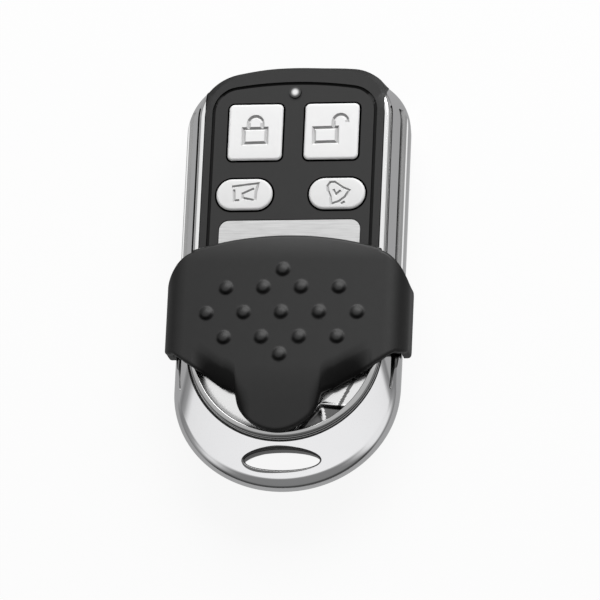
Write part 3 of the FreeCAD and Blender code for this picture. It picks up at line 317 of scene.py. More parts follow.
def block(low, high, corner=0.0, segments=1):
    """A box between two corners in millimetres, with its upright edges rounded."""
    low, high = Vector(low) * MM, Vector(high) * MM
    shape = bmesh.new()
    place = Matrix.Translation((low + high) / 2) @ Matrix.Diagonal((*(high - low), 1.0))
    bmesh.ops.create_cube(shape, size=1.0, matrix=place)
    if corner > 0:
        upright = [e for e in shape.edges if abs(e.verts[0].co.z - e.verts[1].co.z) > WELD]
        bmesh.ops.bevel(
            shape, geom=upright, offset=corner * MM, affect="EDGES", segments=segments,
            profile=0.5, material=-1,
        )
    return shape


def place_shape(name, shape, finishes, body, smooth=SHARP_SMALL, fill=True):
    """A finished piece from a shape, with its open ends filled, riding on a body if it has one."""
    bmesh.ops.remove_doubles(shape, verts=shape.verts, dist=WELD)
    if fill:
        rims = [edge for edge in shape.edges if edge.is_boundary]
        bmesh.ops.holes_fill(shape, edges=rims, sides=0)
    bmesh.ops.recalc_face_normals(shape, faces=shape.faces)
    mesh = bpy.data.meshes.new(name)
    shape.to_mesh(mesh)
    shape.free()
    for finish in finishes:
        mesh.materials.append(finish)
    piece = bpy.data.objects.new(name, mesh)
    bpy.context.scene.collection.objects.link(piece)
    soften(mesh, smooth)
    if body:
        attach(piece, body)
    return piece


def subtract(piece, cutters):
    """Cut the cutters out of a piece and keep the result, with their materials, as its mesh."""
    for cutter in cutters:
        change = piece.modifiers.new(cutter.name, "BOOLEAN")
        change.operation = "DIFFERENCE"
        change.solver = "EXACT"
        change.material_mode = "TRANSFER"
        change.object = cutter
    bpy.context.view_layer.update()
    graph = bpy.context.evaluated_depsgraph_get()
    result = bpy.data.meshes.new_from_object(piece.evaluated_get(graph))
    piece.modifiers.clear()
    old = piece.data
    piece.data = result
    bpy.data.meshes.remove(old)
    result.name = piece.name
    for cutter in cutters:
        mesh = cutter.data
        bpy.data.objects.remove(cutter)
        bpy.data.meshes.remove(mesh)
    soften(piece.data, SHARP)
    sharpen_borders(piece.data)


def ease(value, low, high):
    """A smooth step from 0 at low to 1 at high."""
    t = max(0.0, min(1.0, (value - low) / (high - low)))
    return t * t * (3 - 2 * t)


# Chrome frame

HALF_WIDTH = 17.35
HALF_LENGTH = 33.1
CROWN = 60.0
CORNER = 8.3
OPENING = 13.9

# level, inset of the sides, inset of the top, end of the half oval, its length
SEAT = (0.8, 1.35, 1.35, 24.0, 12.0)
HEEL = (4.4, 0.3, 0.3, 26.0, 13.5)
LUG = (5.3, 0.2, 0.2, 31.6, 15.0)
BELLY = (7.2, 0.0, 0.0, 33.1, 15.7)
BROW = (8.0, 0.25, 0.0, 32.7, 15.6)
GUIDE = (8.8, 0.95, 0.0, 31.6, 15.2)
STEP = (10.8, 2.28, 0.0, 26.0, 15.0)
PANEL = (11.4, 3.45, 0.6, 24.8, 13.8)
DECK_UNDERSIDE = 7.0
CAVITY_HALF, CAVITY_END, CAVITY_OVAL = 14.8, 21.6, 11.0
CAVITY_TOP = HALF_LENGTH - 6.5

# how far the apron's rows are on the way from GUIDE to STEP
APRON_ROWS = (0.03, 0.2, 0.4, 0.6, 0.8, 0.93)
NOTCH_UPPER = 0.95
# rows of the notch and of the ledge: how far on the way from STEP to PANEL, with their level
NOTCH_ROWS = ((0.14, 10.3), (0.2, 10.33), (0.19, 10.9))
LEDGE_ROWS = (
    (0.24, 11.03), (0.35, 11.18), (0.5, 11.29), (0.65, 11.36), (0.8, 11.4), (0.9, 11.39),
    (0.96, 11.35), (1.0, 11.27),
)

CORNER_STEPS, SIDE_STEPS, OVAL_STEPS = 24, 84, 160
HEEL_STEPS, FLANK_STEPS = 3, 30
# points at each end of a path along which the notch is filled
TIP_STEPS = 15
# numbers of the casting's finishes after its bright chrome: painted shade in the notch and on the
# inner wall, and painted shade along the ledge
NOTCH_FACE, LEDGE_FACE = 1, 2


def tangent_corner(half, top, corner, crown):
    """Centre of a round corner that touches a straight side and a crown, and its turn."""
    across = half - corner
    middle = top - crown
    height = middle + math.sqrt((crown - corner) ** 2 - across**2)
    return across, height, math.atan2(height - middle, across)


def half_oval(half, root, oval):
    """Points of the ring end, from right to left."""
    return [
        (
            half * math.cos(-math.pi * k / OVAL_STEPS),
            root + oval * math.sin(-math.pi * k / OVAL_STEPS),
        )
        for k in range(OVAL_STEPS + 1)
    ]


def u_path(inset, top_inset, end, oval):
    """Plan points of the frame from its right upper end, round the ring end, to its left one."""
    half = HALF_WIDTH - inset
    corner = CORNER - inset / 2
    across, height, turn = tangent_corner(half, HALF_LENGTH - top_inset, corner, CROWN)
    limit = min(1.0, (OPENING - across) / corner)
    start = min(turn, math.acos(limit))
    root = oval - end
    right = []
    for k in range(CORNER_STEPS + 1):
        angle = start * (1 - k / CORNER_STEPS)
        right.append((across + corner * math.cos(angle), height + corner * math.sin(angle)))
    for k in range(1, SIDE_STEPS):
        right.append((half, height + (root - height) * k / SIDE_STEPS))
    left = [(-x, y) for x, y in reversed(right)]
    return right + half_oval(half, root, oval) + left


def cavity_path():
    """The same number of points round the hollow, whose sides run straight to the top."""
    root = CAVITY_OVAL - CAVITY_END
    count = CORNER_STEPS + SIDE_STEPS
    side = [(CAVITY_HALF, root + (CAVITY_TOP - root) * (1 - k / count)) for k in range(count)]
    side[0] = (OPENING, CAVITY_TOP)
    return side + half_oval(CAVITY_HALF, root, CAVITY_OVAL) + [(-x, y) for x, y in reversed(side)]


def smooth_rows(rows, steps):
    """Rows on a monotone curve through the given rows, evenly spaced in level."""
    levels = [row[0] for row in rows]
    last = len(rows) - 1
    slopes = []
    for column in range(1, 5):
        rises = [
            (rows[i + 1][column] - rows[i][column]) / (levels[i + 1] - levels[i])
            for i in range(last)
        ]
        tangents = [rises[0]]
        for before, after in zip(rises, rises[1:]):
            same_way = before * after > 0
            tangents.append(2 * before * after / (before + after) if same_way else 0.0)
        tangents.append(rises[-1])
        slopes.append(tangents)
    made = []
    for step in range(steps + 1):
        level = levels[0] + (levels[-1] - levels[0]) * step / steps
        i = max(k for k in range(last) if levels[k] <= level + 1e-9)
        span = levels[i + 1] - levels[i]
        t = (level - levels[i]) / span
        row = [level]
        for column in range(1, 5):
            low, high = rows[i][column], rows[i + 1][column]
            leave = slopes[column - 1][i] * span
            reach = slopes[column - 1][i + 1] * span
            value = (2 * t**3 - 3 * t**2 + 1) * low + (t**3 - 2 * t**2 + t) * leave
            value += (-2 * t**3 + 3 * t**2) * high + (t**3 - t**2) * reach
            row.append(value)
        made.append(tuple(row))
    return made


def between(low, high, t, level=None):
    """A row part of the way from one row to another, at a level of its own if given."""
    row = [a + (b - a) * t for a, b in zip(low, high)]
    if level is not None:
        row[0] = level
    return tuple(row)


def frame_casting():
    """Swept casting: rounded flank, wide band, fine notch, rounded ledge, then the inside."""
    rows = [between(SEAT, HEEL, k / HEEL_STEPS) for k in range(HEEL_STEPS)]
    rows += smooth_rows((HEEL, LUG, BELLY, BROW, GUIDE), FLANK_STEPS)
    rows += [between(GUIDE, STEP, t) for t in APRON_ROWS]
    notch_start = len(rows)
    rows.append(between(GUIDE, STEP, NOTCH_UPPER))
    rows += [between(STEP, PANEL, t, level) for t, level in NOTCH_ROWS]
    notch_end = len(rows) - 1
    rows += [between(STEP, PANEL, t, level) for t, level in LEDGE_ROWS]
    inner_wall = len(rows) - 1
    rows.append((DECK_UNDERSIDE, *PANEL[1:]))
    loops = []
    for row, (level, *plan) in enumerate(rows):
        path = u_path(*plan)
        loop = [(x, y, level) for x, y in path]
        if notch_start <= row < notch_end:
            share = (row - notch_start + 1) / (len(NOTCH_ROWS) + 1)
            flush = between(rows[notch_start], rows[notch_end], share)
            smooth = [(x, y, flush[0]) for x, y in u_path(*flush[1:])]
            for k in (*range(TIP_STEPS), *range(len(path) - TIP_STEPS, len(path))):
                loop[k] = smooth[k]
        loops.append(loop)
    for level in (DECK_UNDERSIDE, SEAT[0]):
        loops.append([(x, y, level) for x, y in cavity_path()])
    shape = skin([*loops, loops[0]], closed=False)
    steps = len(loops[0]) - 1
    for k, face in enumerate(shape.faces):
        row, column = divmod(k, steps)
        in_notch = notch_start <= row < notch_end and TIP_STEPS <= column < steps - TIP_STEPS
        # painted shade: the ledge grows darker towards the ring end, and the notch and inner wall
        # get darker plating
        if notch_end <= row < inner_wall:
            face.material_index = LEDGE_FACE
        elif row == inner_wall or in_notch:
            face.material_index = NOTCH_FACE
    finishes = (chrome, notch_and_wall_painted_shade, ledge_painted_shade)
    casting = place_shape("frame_casting", shape, finishes, "housing", SHARP)
    subtract(casting, [ring_cutter(), groove_cutter(-1), groove_cutter(1)])
    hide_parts("chrome_frame")


RING_X, RING_Y, RING_HALF_X, RING_HALF_Y = 0.1, -28.75, 5.75, 1.45
RING_RIM = 0.5
RING_THICK = 1.7
# how far the bore widens below the lug, and over which drop; its lowest ring and that one's level
FLARE, FLARE_DROP = 1.1, 0.9
FLARE_FOOT, FLARE_LEVEL = 1.3, 3.0
# fall of the lug's face per square millimetre of distance from its middle line
LUG_SAG = 0.0105
RING_STEPS, RIM_STEPS = 96, 8


def ring_cutter():
    """Oval bore with a rolled upper rim along the apron's slope, flared below the thin lug."""
    slope = (STEP[0] - GUIDE[0]) / (GUIDE[3] - STEP[3])
    middle = GUIDE[0] + (RING_Y + GUIDE[3]) * slope
    loops = []

    def ring(grow, level, follow):
        loop = []
        for k in range(RING_STEPS):
            angle = 2 * math.pi * k / RING_STEPS
            x = (RING_HALF_X + grow) * math.cos(angle)
            y = (RING_HALF_Y + grow) * math.sin(angle)
            sag = LUG_SAG * x * x
            loop.append((RING_X + x, RING_Y + y, level + follow * (slope * y - sag)))
        loops.append(loop)

    ring(FLARE_FOOT, FLARE_LEVEL, 0.0)
    ring(FLARE, middle - RING_THICK - FLARE_DROP, 0.0)
    ring(0.0, middle - RING_THICK, 0.0)
    for k in range(RIM_STEPS + 1):
        turn = math.pi / 2 * k / RIM_STEPS
        ring(RING_RIM * (1 - math.cos(turn)), middle - RING_RIM * (1 - math.sin(turn)), 1.0)
    for above in (0.02, 3.0):
        ring(2 * RING_RIM, middle + above, 1.0)
    # the bore's walls get the cutter's darker plating, painted shade
    return place_shape("ring_cutter", skin(loops), [chrome_painted_shade], None)


GROOVE_FLOOR, GROOVE_LOW, GROOVE_TOP, GROOVE_HALF = 15.4, -17.6, 27.0, 0.45
GROOVE_LIP = 16.6
GROOVE_BEYOND = 19.0
GROOVE_ROUND = 0.6
# the bevel of the lower lip: how far out and how low it ends, and the level beyond it
BEVEL_OUT, BEVEL_LOW, BEVEL_BEYOND = 0.3, -0.8, -1.0
# the taper at the low end: its length, its narrowest share and how far it rises there
TAPER_RUN, TAPER_LEAST, TAPER_RISE = 6.0, 0.35, 0.26


def groove_cutter(side):
    """The slot that the cover's lip runs in, tapered to its round low end, with painted shade: a
    dark floor and a bright lip, both darker towards the low end.
    """
    section = (
        (GROOVE_FLOOR, GROOVE_HALF), (GROOVE_BEYOND, GROOVE_HALF), (GROOVE_BEYOND, BEVEL_BEYOND),
        (GROOVE_LIP + BEVEL_OUT, BEVEL_LOW), (GROOVE_LIP, -GROOVE_HALF),
        (GROOVE_FLOOR, -GROOVE_HALF),
    )
    loops = []
    stations = [GROOVE_ROUND * (1 - math.cos(math.pi / 2 * k / 10)) for k in range(11)]
    stations += [1.0, 2.0, 3.0, 4.0, 5.0, TAPER_RUN, 10.0, 20.0, 30.0, GROOVE_TOP - GROOVE_LOW]
    for run in stations:
        left = max(0.0, 1 - run / GROOVE_ROUND)
        swell = ease(run, 0.0, TAPER_RUN)
        share = max(0.02, math.sqrt(max(0.0, 1 - left * left)))
        share *= TAPER_LEAST + (1 - TAPER_LEAST) * swell
        level = GUIDE[0] + TAPER_RISE * (1 - swell)
        loops.append([(side * x, GROOVE_LOW + run, level + z * share) for x, z in section])
    finishes = (groove_lip_painted_shade, groove_floor_painted_shade)
    cutter = place_shape(f"groove_cutter_{side}", skin(loops), finishes, None)
    # the floor's faces get the darker painted shade, the lip's faces the brighter one
    for polygon in cutter.data.polygons:
        reach = max(abs(cutter.data.vertices[k].co.x) for k in polygon.vertices)
        polygon.material_index = 1 if reach < (GROOVE_LIP + 0.01) * MM else 0
    return cutter


# ridges of the deck's dish, from and to in plan, with half width
HUB = (5.6, -20.0)
RIGHT_END, LEFT_END = (11.6, -20.5), (1.2, -24.4)
DECK_RIDGES = (
    (HUB, RIGHT_END, 0.24),
    (HUB, LEFT_END, 0.24),
    (HUB, (6.3, -22.8), 0.42),
    ((6.4, -24.2), (11.4, -21.2), 0.24),
)
# height of a ridge, and how near to its crest it stays bright rather than take the dish's painted
# dark reflection
RIDGE_RISE, RIDGE_BRIGHT = 0.14, 0.5
DISH_SINK, DISH_STEP = 0.5, 0.5
# lower and upper border of the grey facet, a painted reflection, that rises from the hub, and the
# painted dark line along it
FACET_END, FACET_TOP = (10.4, -16.2), (7.6, -15.6)
FACET_LINE, FACET_LINE_WIDTH = (8.6, -19.6), 0.5

DECK_UPPER_EDGE = -12.3
DECK_TUCK = 0.05
DECK_LEVEL = 10.2
# how far the deck falls towards the ring end and towards its sides
DECK_FALL, DECK_FALL_POWER, DECK_SIDE_FALL = 2.0, 2.6, 0.9
# share of the deck's size from which its rim has a painted grey reflection
DECK_RIM = 0.95
DECK_RINGS, DECK_SECTORS = 110, 200
# numbers of the deck's finishes after its chrome: painted dark reflection and painted grey
# reflection
PAINTED_DARK_FACE, PAINTED_GREY_FACE = 1, 2


def ridge_share(x, y):
    """How near a point is to the crest of a ridge, from 0 to 1."""
    best = 0.0
    for (x0, y0), (x1, y1), half in DECK_RIDGES:
        dx, dy = x1 - x0, y1 - y0
        t = max(0.0, min(1.0, ((x - x0) * dx + (y - y0) * dy) / (dx * dx + dy * dy)))
        off = math.hypot(x - x0 - t * dx, y - y0 - t * dy) / half
        best = max(best, math.exp(-(off**2)))
    return best


def beyond(x, y, start, end):
    """Distance to the right of the line from start to end."""
    dx, dy = end[0] - start[0], end[1] - start[1]
    return ((x - start[0]) * dy - (y - start[1]) * dx) / math.hypot(dx, dy)


def dish_depth(x, y):
    """How far a point lies within the dish below the two outer ridges."""
    return min(beyond(x, y, HUB, RIGHT_END), -beyond(x, y, HUB, LEFT_END))


def on_facet(x, y):
    return beyond(x, y, HUB, FACET_TOP) > 0 and beyond(x, y, HUB, FACET_END) < 0


def on_facet_line(x, y):
    return 0 < beyond(x, y, FACET_LINE, FACET_END) < FACET_LINE_WIDTH and y < FACET_END[1]


def deck_dish():
    """Sunk chrome deck: pillowed towards its edge, with a ribbed dish on its right side."""
    half = HALF_WIDTH - PANEL[1] + DECK_TUCK
    top = DECK_UPPER_EDGE
    reach = PANEL[3] + top + DECK_TUCK
    loops = []
    for ring in range(DECK_RINGS + 1):
        share = ring / DECK_RINGS
        loop = []
        for k in range(DECK_SECTORS + 1):
            angle = -math.pi * k / DECK_SECTORS
            x = half * share * math.cos(angle)
            y = top + reach * share * math.sin(angle)
            fall = (top - y) / reach
            z = DECK_LEVEL - DECK_FALL * fall**DECK_FALL_POWER - DECK_SIDE_FALL * (x / half) ** 2
            z -= DISH_SINK * ease(dish_depth(x, y), 0.0, DISH_STEP)
            loop.append((x, y, z + RIDGE_RISE * ridge_share(x, y)))
        loops.append(loop)
    finishes = (deck_chrome, chrome_painted_shade, painted_grey_reflection)
    shape = skin(loops, closed=False)
    deck = place_shape("frame_deck", shape, finishes, "housing", 60.0, fill=False)
    # painted dark reflection in the dish and on a line, painted grey reflection on the facet and
    # the rim
    for polygon in deck.data.polygons:
        x, y = polygon.center.x / MM, polygon.center.y / MM
        in_dish = dish_depth(x, y) > 0 and ridge_share(x, y) < RIDGE_BRIGHT
        if in_dish or on_facet_line(x, y):
            polygon.material_index = PAINTED_DARK_FACE
        elif on_facet(x, y) or math.hypot(x / half, (top - y) / reach) > DECK_RIM:
            polygon.material_index = PAINTED_GREY_FACE
    sharpen_borders(deck.data)


# Slide cover

COVER_HALF = 18.7
COVER_TOP = 13.6
COVER_BOTTOM = 5.5
COVER_CROWN = 164.0
COVER_SHOULDER = 3.8
COVER_WALL = 1.1
TONGUE_UNDERSIDE = 11.66
RIM_RADIUS = 0.55
FOOT_RADIUS = 0.9
CROWN_STEPS, SHOULDER_STEPS, EAR_STEPS = 104, 22, 12
# the cover counts as level where its normal points upwards by more than this
FACE_UPWARDS = 0.9

# the arched top edge and the round corner of the ear beside it
ARCH_RADIUS, ARCH_TOP, ARCH_HALF = 50.65, 5.75, 14.6
EAR_CORNER, EAR_CORNER_X, EAR_CORNER_Y = 7.0, 12.0, -3.2
# the lower edge from the middle outwards: tongue, waist, slanting hip, foot of the ear
TONGUE_HALF, TONGUE_ROOT, TONGUE_LENGTH, TONGUE_POWER = 6.5, -19.6, 5.5, 1.8
WAIST_RUN, WAIST_RISE, WAIST_ROUND = 2.1, 1.4, 0.72
HIP_START, HIP_RUN, HIP_LOW, HIP_HIGH = 8.6, 8.8, -18.2, -12.6
EAR_FOOT, EAR_ROUND_X, EAR_ROUND_Y = -12.0, 1.3, 0.6
# the tongue's shift to the left, which fades out between two distances from the middle
TONGUE_LEAN, LEAN_ALL, LEAN_NONE = 0.45, 9.0, 13.0
# where the face starts to fall away, over which run and by how much
TONGUE_DROP_FROM, TONGUE_DROP_RUN, TONGUE_DROP = -15.0, 10.4, 1.05
ARCH_DROP_FROM, ARCH_DROP_RUN, ARCH_DROP = 1.5, 3.95, 0.4

BUMP_PITCH = 5.78
BUMP_RADIUS = 1.08
BUMP_RISE = 0.42
# how far each peak lies towards the tongue, and all bumps to the left
BUMP_PEAK, BUMP_LEAN = 0.3, 0.27
# each bump reaches this many radii with its shade
BUMP_SKIRT = 1.3
# place of each row along the body, and its number of bumps
BUMP_ROWS = ((0.15, 1), (-2.65, 4), (-6.6, 5), (-10.5, 4), (-13.25, 1))


def cover_section():
    """Points across the cover from foot to foot over the crown, with their normals."""
    across, height, turn = tangent_corner(COVER_HALF, COVER_TOP, COVER_SHOULDER, COVER_CROWN)
    right = []
    crown_turn = math.pi / 2 - turn
    for k in range(CROWN_STEPS + 1):
        angle = crown_turn * k / CROWN_STEPS
        x = COVER_CROWN * math.sin(angle)
        z = COVER_TOP - COVER_CROWN + COVER_CROWN * math.cos(angle)
        right.append((x, z, math.sin(angle), math.cos(angle)))
    for k in range(1, SHOULDER_STEPS + 1):
        angle = turn * (1 - k / SHOULDER_STEPS)
        right.append(
            (
                across + COVER_SHOULDER * math.cos(angle),
                height + COVER_SHOULDER * math.sin(angle),
                math.cos(angle), math.sin(angle),
            )
        )
    for k in range(1, EAR_STEPS + 1):
        z = height + (COVER_BOTTOM - height) * (k / EAR_STEPS) ** 0.8
        right.append((COVER_HALF, z, 1.0, 0.0))
    left = [(-x, z, -nx, nz) for x, z, nx, nz in reversed(right[1:])]
    return left + right


def cover_high(x):
    """The arched top edge and the round corner beside it."""
    x = abs(x)
    if x < ARCH_HALF:
        return ARCH_TOP - ARCH_RADIUS + math.sqrt(ARCH_RADIUS**2 - x**2)
    return EAR_CORNER_Y + math.sqrt(max(0.0, EAR_CORNER**2 - (x - EAR_CORNER_X) ** 2))


def cover_low(x):
    """Thumb tongue, waist, hip and the round foot of the ear."""
    x = abs(x)
    if x <= TONGUE_HALF:
        reach = max(0.0, 1 - (x / TONGUE_HALF) ** TONGUE_POWER) ** (1 / TONGUE_POWER)
        return TONGUE_ROOT - TONGUE_LENGTH * reach
    if x <= HIP_START:
        t = (x - TONGUE_HALF) / WAIST_RUN
        rise = WAIST_ROUND * math.sin(math.acos(1 - t)) + (1 - WAIST_ROUND) * t
        return TONGUE_ROOT + WAIST_RISE * rise
    if x <= HIP_START + HIP_RUN:
        return HIP_LOW + (x - HIP_START) * (HIP_HIGH - HIP_LOW) / HIP_RUN
    t = (x - HIP_START - HIP_RUN) / EAR_ROUND_X
    return EAR_FOOT - EAR_ROUND_Y * math.sqrt(max(0.0, 1 - t**2))


def cover_drop(y):
    """How far the face falls away along the tongue and at the top edge."""
    if y < TONGUE_DROP_FROM:
        t = (TONGUE_DROP_FROM - y) / TONGUE_DROP_RUN
        return TONGUE_DROP * t * t * (1.6 - 0.6 * t)
    if y > ARCH_DROP_FROM:
        t = (y - ARCH_DROP_FROM) / ARCH_DROP_RUN
        return ARCH_DROP * t * t
    return 0.0


HOLLOW_REACH, HOLLOW_SINK, HOLLOW_MIDDLE, HOLLOW_HALF, HOLLOW_POWER = 3.0, 1.35, 9.6, 4.2, 1.5


def hollow_drop(x, above_edge):
    """Soft dip along the lower edge on both sides of the tongue."""
    beside = 1 - ((abs(x) - HOLLOW_MIDDLE) / HOLLOW_HALF) ** 2
    near = 1 - above_edge / HOLLOW_REACH
    if beside <= 0 or near <= 0:
        return 0.0
    return HOLLOW_SINK * beside * near**HOLLOW_POWER


def bump_offset(x, y):
    """Offset from the centre of the nearest bump, or None away from all."""
    for row_y, count in BUMP_ROWS:
        if abs(y - row_y) > BUMP_SKIRT * BUMP_RADIUS:
            continue
        for k in range(count):
            dx = x + BUMP_LEAN - (k - (count - 1) / 2) * BUMP_PITCH
            if math.hypot(dx, y - row_y) < BUMP_SKIRT * BUMP_RADIUS:
                return dx, y - row_y
    return None


def bump_height(x, y):
    """A dome whose peak lies towards the tongue, gentle above and steep below."""
    offset = bump_offset(x, y)
    if offset is None or math.hypot(*offset) >= BUMP_RADIUS:
        return 0.0
    dx, dy = offset[0], offset[1] + BUMP_PEAK
    far = dx * dx + dy * dy
    if far < 1e-9:
        return BUMP_RISE
    along = -BUMP_PEAK * dy
    stretch = (-along + math.sqrt(along**2 + far * (BUMP_RADIUS**2 - BUMP_PEAK**2))) / far
    reach = min(1.0, 1 / stretch)
    below = 0.5 - 0.5 * dy / math.sqrt(far)
    return BUMP_RISE * (1 - reach ** (2 + below)) ** (1.3 - 0.65 * below)


SHADE_MIDDLE, SHADE_HALF, SHADE_REACH, SHADE_GAIN = 8.8, 4.4, 4.6, 2.4


def cover_shade(x, y, low):
    """Painted shade on the cover's face where it gathers less light: beside the tongue and below
    each bump.
    """
    beside = max(0.0, 1 - ((abs(x) - SHADE_MIDDLE) / SHADE_HALF) ** 2)
    shade = min(1.0, max(0.0, SHADE_GAIN * beside * (1 - (y - low) / SHADE_REACH)))
    dx, dy = bump_offset(x, y) or (0.0, 0.0)
    reach = math.hypot(dx, dy) / BUMP_RADIUS
    if reach > 0:
        below = ease(-dy / (reach * BUMP_RADIUS), 0.0, 0.6)
        rim = ease(reach, 0.5, 0.8) * ease(BUMP_SKIRT - reach, 0.0, BUMP_SKIRT - 1)
        shade = max(shade, below * rim)
    return shade


# spacing of the points along the cover's outline, and side of the cells that sort them
EDGE_SPACING, EDGE_CELL = 0.12, 1.0


def edge_finder(columns):
    """A function that gives the distance to the cover's outline on the unrolled face."""
    outline = [(c[4], c[5]) for c in columns] + [(c[4], c[6]) for c in reversed(columns)]
    cells = {}
    for (s0, y0), (s1, y1) in zip(outline, outline[1:] + outline[:1]):
        pieces = max(1, int(math.hypot(s1 - s0, y1 - y0) / EDGE_SPACING))
        for k in range(pieces):
            s, y = s0 + (s1 - s0) * k / pieces, y0 + (y1 - y0) * k / pieces
            cell = (int(s // EDGE_CELL), int(y // EDGE_CELL))
            cells.setdefault(cell, []).append((s, y))

    def distance(s, y):
        best = (3 * EDGE_CELL) ** 2
        i, j = int(s // EDGE_CELL), int(y // EDGE_CELL)
        for column in (i - 1, i, i + 1):
            for row in (j - 1, j, j + 1):
                for u, v in cells.get((column, row), ()):
                    best = min(best, (u - s) ** 2 + (v - y) ** 2)
        return math.sqrt(best)

    return distance


COVER_ROWS = 170
# how much the rows crowd towards the edges
ROW_CROWDING = 0.028


def cover_shell():
    """Arched shell: each loop runs up its face and back down one wall below it."""
    section = cover_section()
    run = [0.0]
    for p, q in zip(section, section[1:]):
        run.append(run[-1] + math.hypot(q[0] - p[0], q[1] - p[1]))
    columns = []
    for (x, z, nx, nz), s in zip(section, run):
        lean = TONGUE_LEAN * ease(LEAN_NONE - abs(x), 0.0, LEAN_NONE - LEAN_ALL)
        low, high = cover_low(x + lean), cover_high(x)
        to_foot = min(s, run[-1] - s)
        if to_foot < FOOT_RADIUS:
            cut = FOOT_RADIUS - math.sqrt(FOOT_RADIUS**2 - (FOOT_RADIUS - to_foot) ** 2)
            low += cut
            high -= cut
        columns.append((x, z, nx, nz, s, low, high))
    distance = edge_finder(columns)
    turns = [k / COVER_ROWS for k in range(COVER_ROWS + 1)]
    spread = [turn - ROW_CROWDING * math.sin(2 * math.pi * turn) for turn in turns]
    loops, shades = [], []
    for x, z, nx, nz, s, low, high in columns:
        outer, inner, shade = [], [], []
        for t in spread:
            y = low + (high - low) * t
            gap = min(RIM_RADIUS, distance(s, y))
            sink = RIM_RADIUS - math.sqrt(RIM_RADIUS**2 - (RIM_RADIUS - gap) ** 2)
            level_face = nz > FACE_UPWARDS
            offset = (bump_height(x, y) if level_face else 0.0) - sink
            fall = (cover_drop(y) + hollow_drop(x, y - low)) * nz
            outer.append((x + nx * offset, y, z + nz * offset - fall))
            shade.append(cover_shade(x, y, low) if level_face else 0.0)
            under = z - nz * COVER_WALL - fall
            if level_face:
                under = max(under, TONGUE_UNDERSIDE)
            inner.append((x - nx * COVER_WALL, y, under))
        loops.append([*outer, *reversed(inner), outer[0]])
        shades += [*shade, *[0.0] * len(inner), shade[0]]
    shape = skin(loops, closed=False)
    # painted shade: this attribute cuts the cover's sheen beside the tongue and below each bump
    layer = shape.verts.layers.float.new("shade")
    for vert, shade in zip(shape.verts, shades):
        vert[layer] = shade
    cover = place_shape("cover_shell", shape, [cover_black_painted_shade], "cover", 50.0)
    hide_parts("slide_cover")


LIP_X, LIP_Y, LIP_Z = (15.7, 18.0), (-11.3, -3.6), (8.45, 9.15)


def cover_lip(name, side):
    """The hook that runs in the frame's groove."""
    inside, outside = sorted(side * x for x in LIP_X)
    shape = block((inside, LIP_Y[0], LIP_Z[0]), (outside, LIP_Y[1], LIP_Z[1]))
    lip = place_shape(f"cover_lip_{name}", shape, [cover_black_painted_shade], "cover")


# Keys and their symbols

KEY_TOP = 11.8
KEY_FLANGE_LOW, KEY_FLANGE_HIGH = 9.4, 10.2
KEY_FLANGE, KEY_FLANGE_CORNER = 0.6, 0.3
# the rounded edge, how fast the corners shrink along it, and the row of points below it
KEY_EDGE, KEY_EDGE_STEPS, KEY_CORNER_SHRINK, KEY_EDGE_HOLD = 0.4, 8, 0.9, 0.1
# the cap's sides are painted near-black shadow from this far below its top
KEY_DARK_FROM = 0.3
NUB_SIDE, NUB_CORNER, NUB_LEVELS = 2.6, 0.1, (8.5, 9.5)


def rounded_loop(width, depth, corner, level, x0, y0, segments=12):
    """Points of a rounded rectangle round a place, at one level."""
    loop = []
    for cx, cy, first in (
        (width / 2 - corner, depth / 2 - corner, 0.0),
        (-width / 2 + corner, depth / 2 - corner, 90.0),
        (-width / 2 + corner, -depth / 2 + corner, 180.0),
        (width / 2 - corner, -depth / 2 + corner, 270.0),
    ):
        for k in range(segments + 1):
            angle = math.radians(first + 90.0 * k / segments)
            x = x0 + cx + corner * math.cos(angle)
            loop.append((x, y0 + cy + corner * math.sin(angle), level))
    return loop


def key_cap(name, width, depth, corner, x0, y0, material):
    """Cap with a softly rounded edge and a flange below the panel."""
    flange = (width + 2 * KEY_FLANGE, depth + 2 * KEY_FLANGE, corner + KEY_FLANGE_CORNER)
    loops = [
        rounded_loop(*flange, KEY_FLANGE_LOW, x0, y0),
        rounded_loop(*flange, KEY_FLANGE_HIGH, x0, y0),
        rounded_loop(width, depth, corner, KEY_FLANGE_HIGH, x0, y0),
        rounded_loop(width, depth, corner, KEY_TOP - KEY_EDGE - KEY_EDGE_HOLD, x0, y0),
    ]
    for k in range(KEY_EDGE_STEPS + 1):
        angle = math.pi / 2 * k / KEY_EDGE_STEPS
        inset = KEY_EDGE * (1 - math.cos(angle))
        level = KEY_TOP - KEY_EDGE * (1 - math.sin(angle))
        rounding = corner - inset * KEY_CORNER_SHRINK
        loops.append(
            rounded_loop(width - 2 * inset, depth - 2 * inset, rounding, level, x0, y0)
        )
    cap = place_shape(f"{name}_cap", skin(loops), (material, gap_painted_shadow), f"{name}_key", 40.0)
    # painted shadow on the cap's lower sides, in the gap round it
    dark_below = (KEY_TOP - KEY_DARK_FROM) * MM
    for polygon in cap.data.polygons:
        if max(cap.data.vertices[k].co.z for k in polygon.vertices) < dark_below:
            polygon.material_index = 1
    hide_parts(f"{name}_button")
    low, high = (
        (x0 + sign * NUB_SIDE / 2, y0 + sign * NUB_SIDE / 2, level)
        for sign, level in zip((-1, 1), NUB_LEVELS)
    )
    nub = place_shape(f"{name}_nub", block(low, high, NUB_CORNER), [material], f"{name}_key")
    return cap


# how far the engraving's cutters stand over the key's top
CUTTER_RISE = 0.1


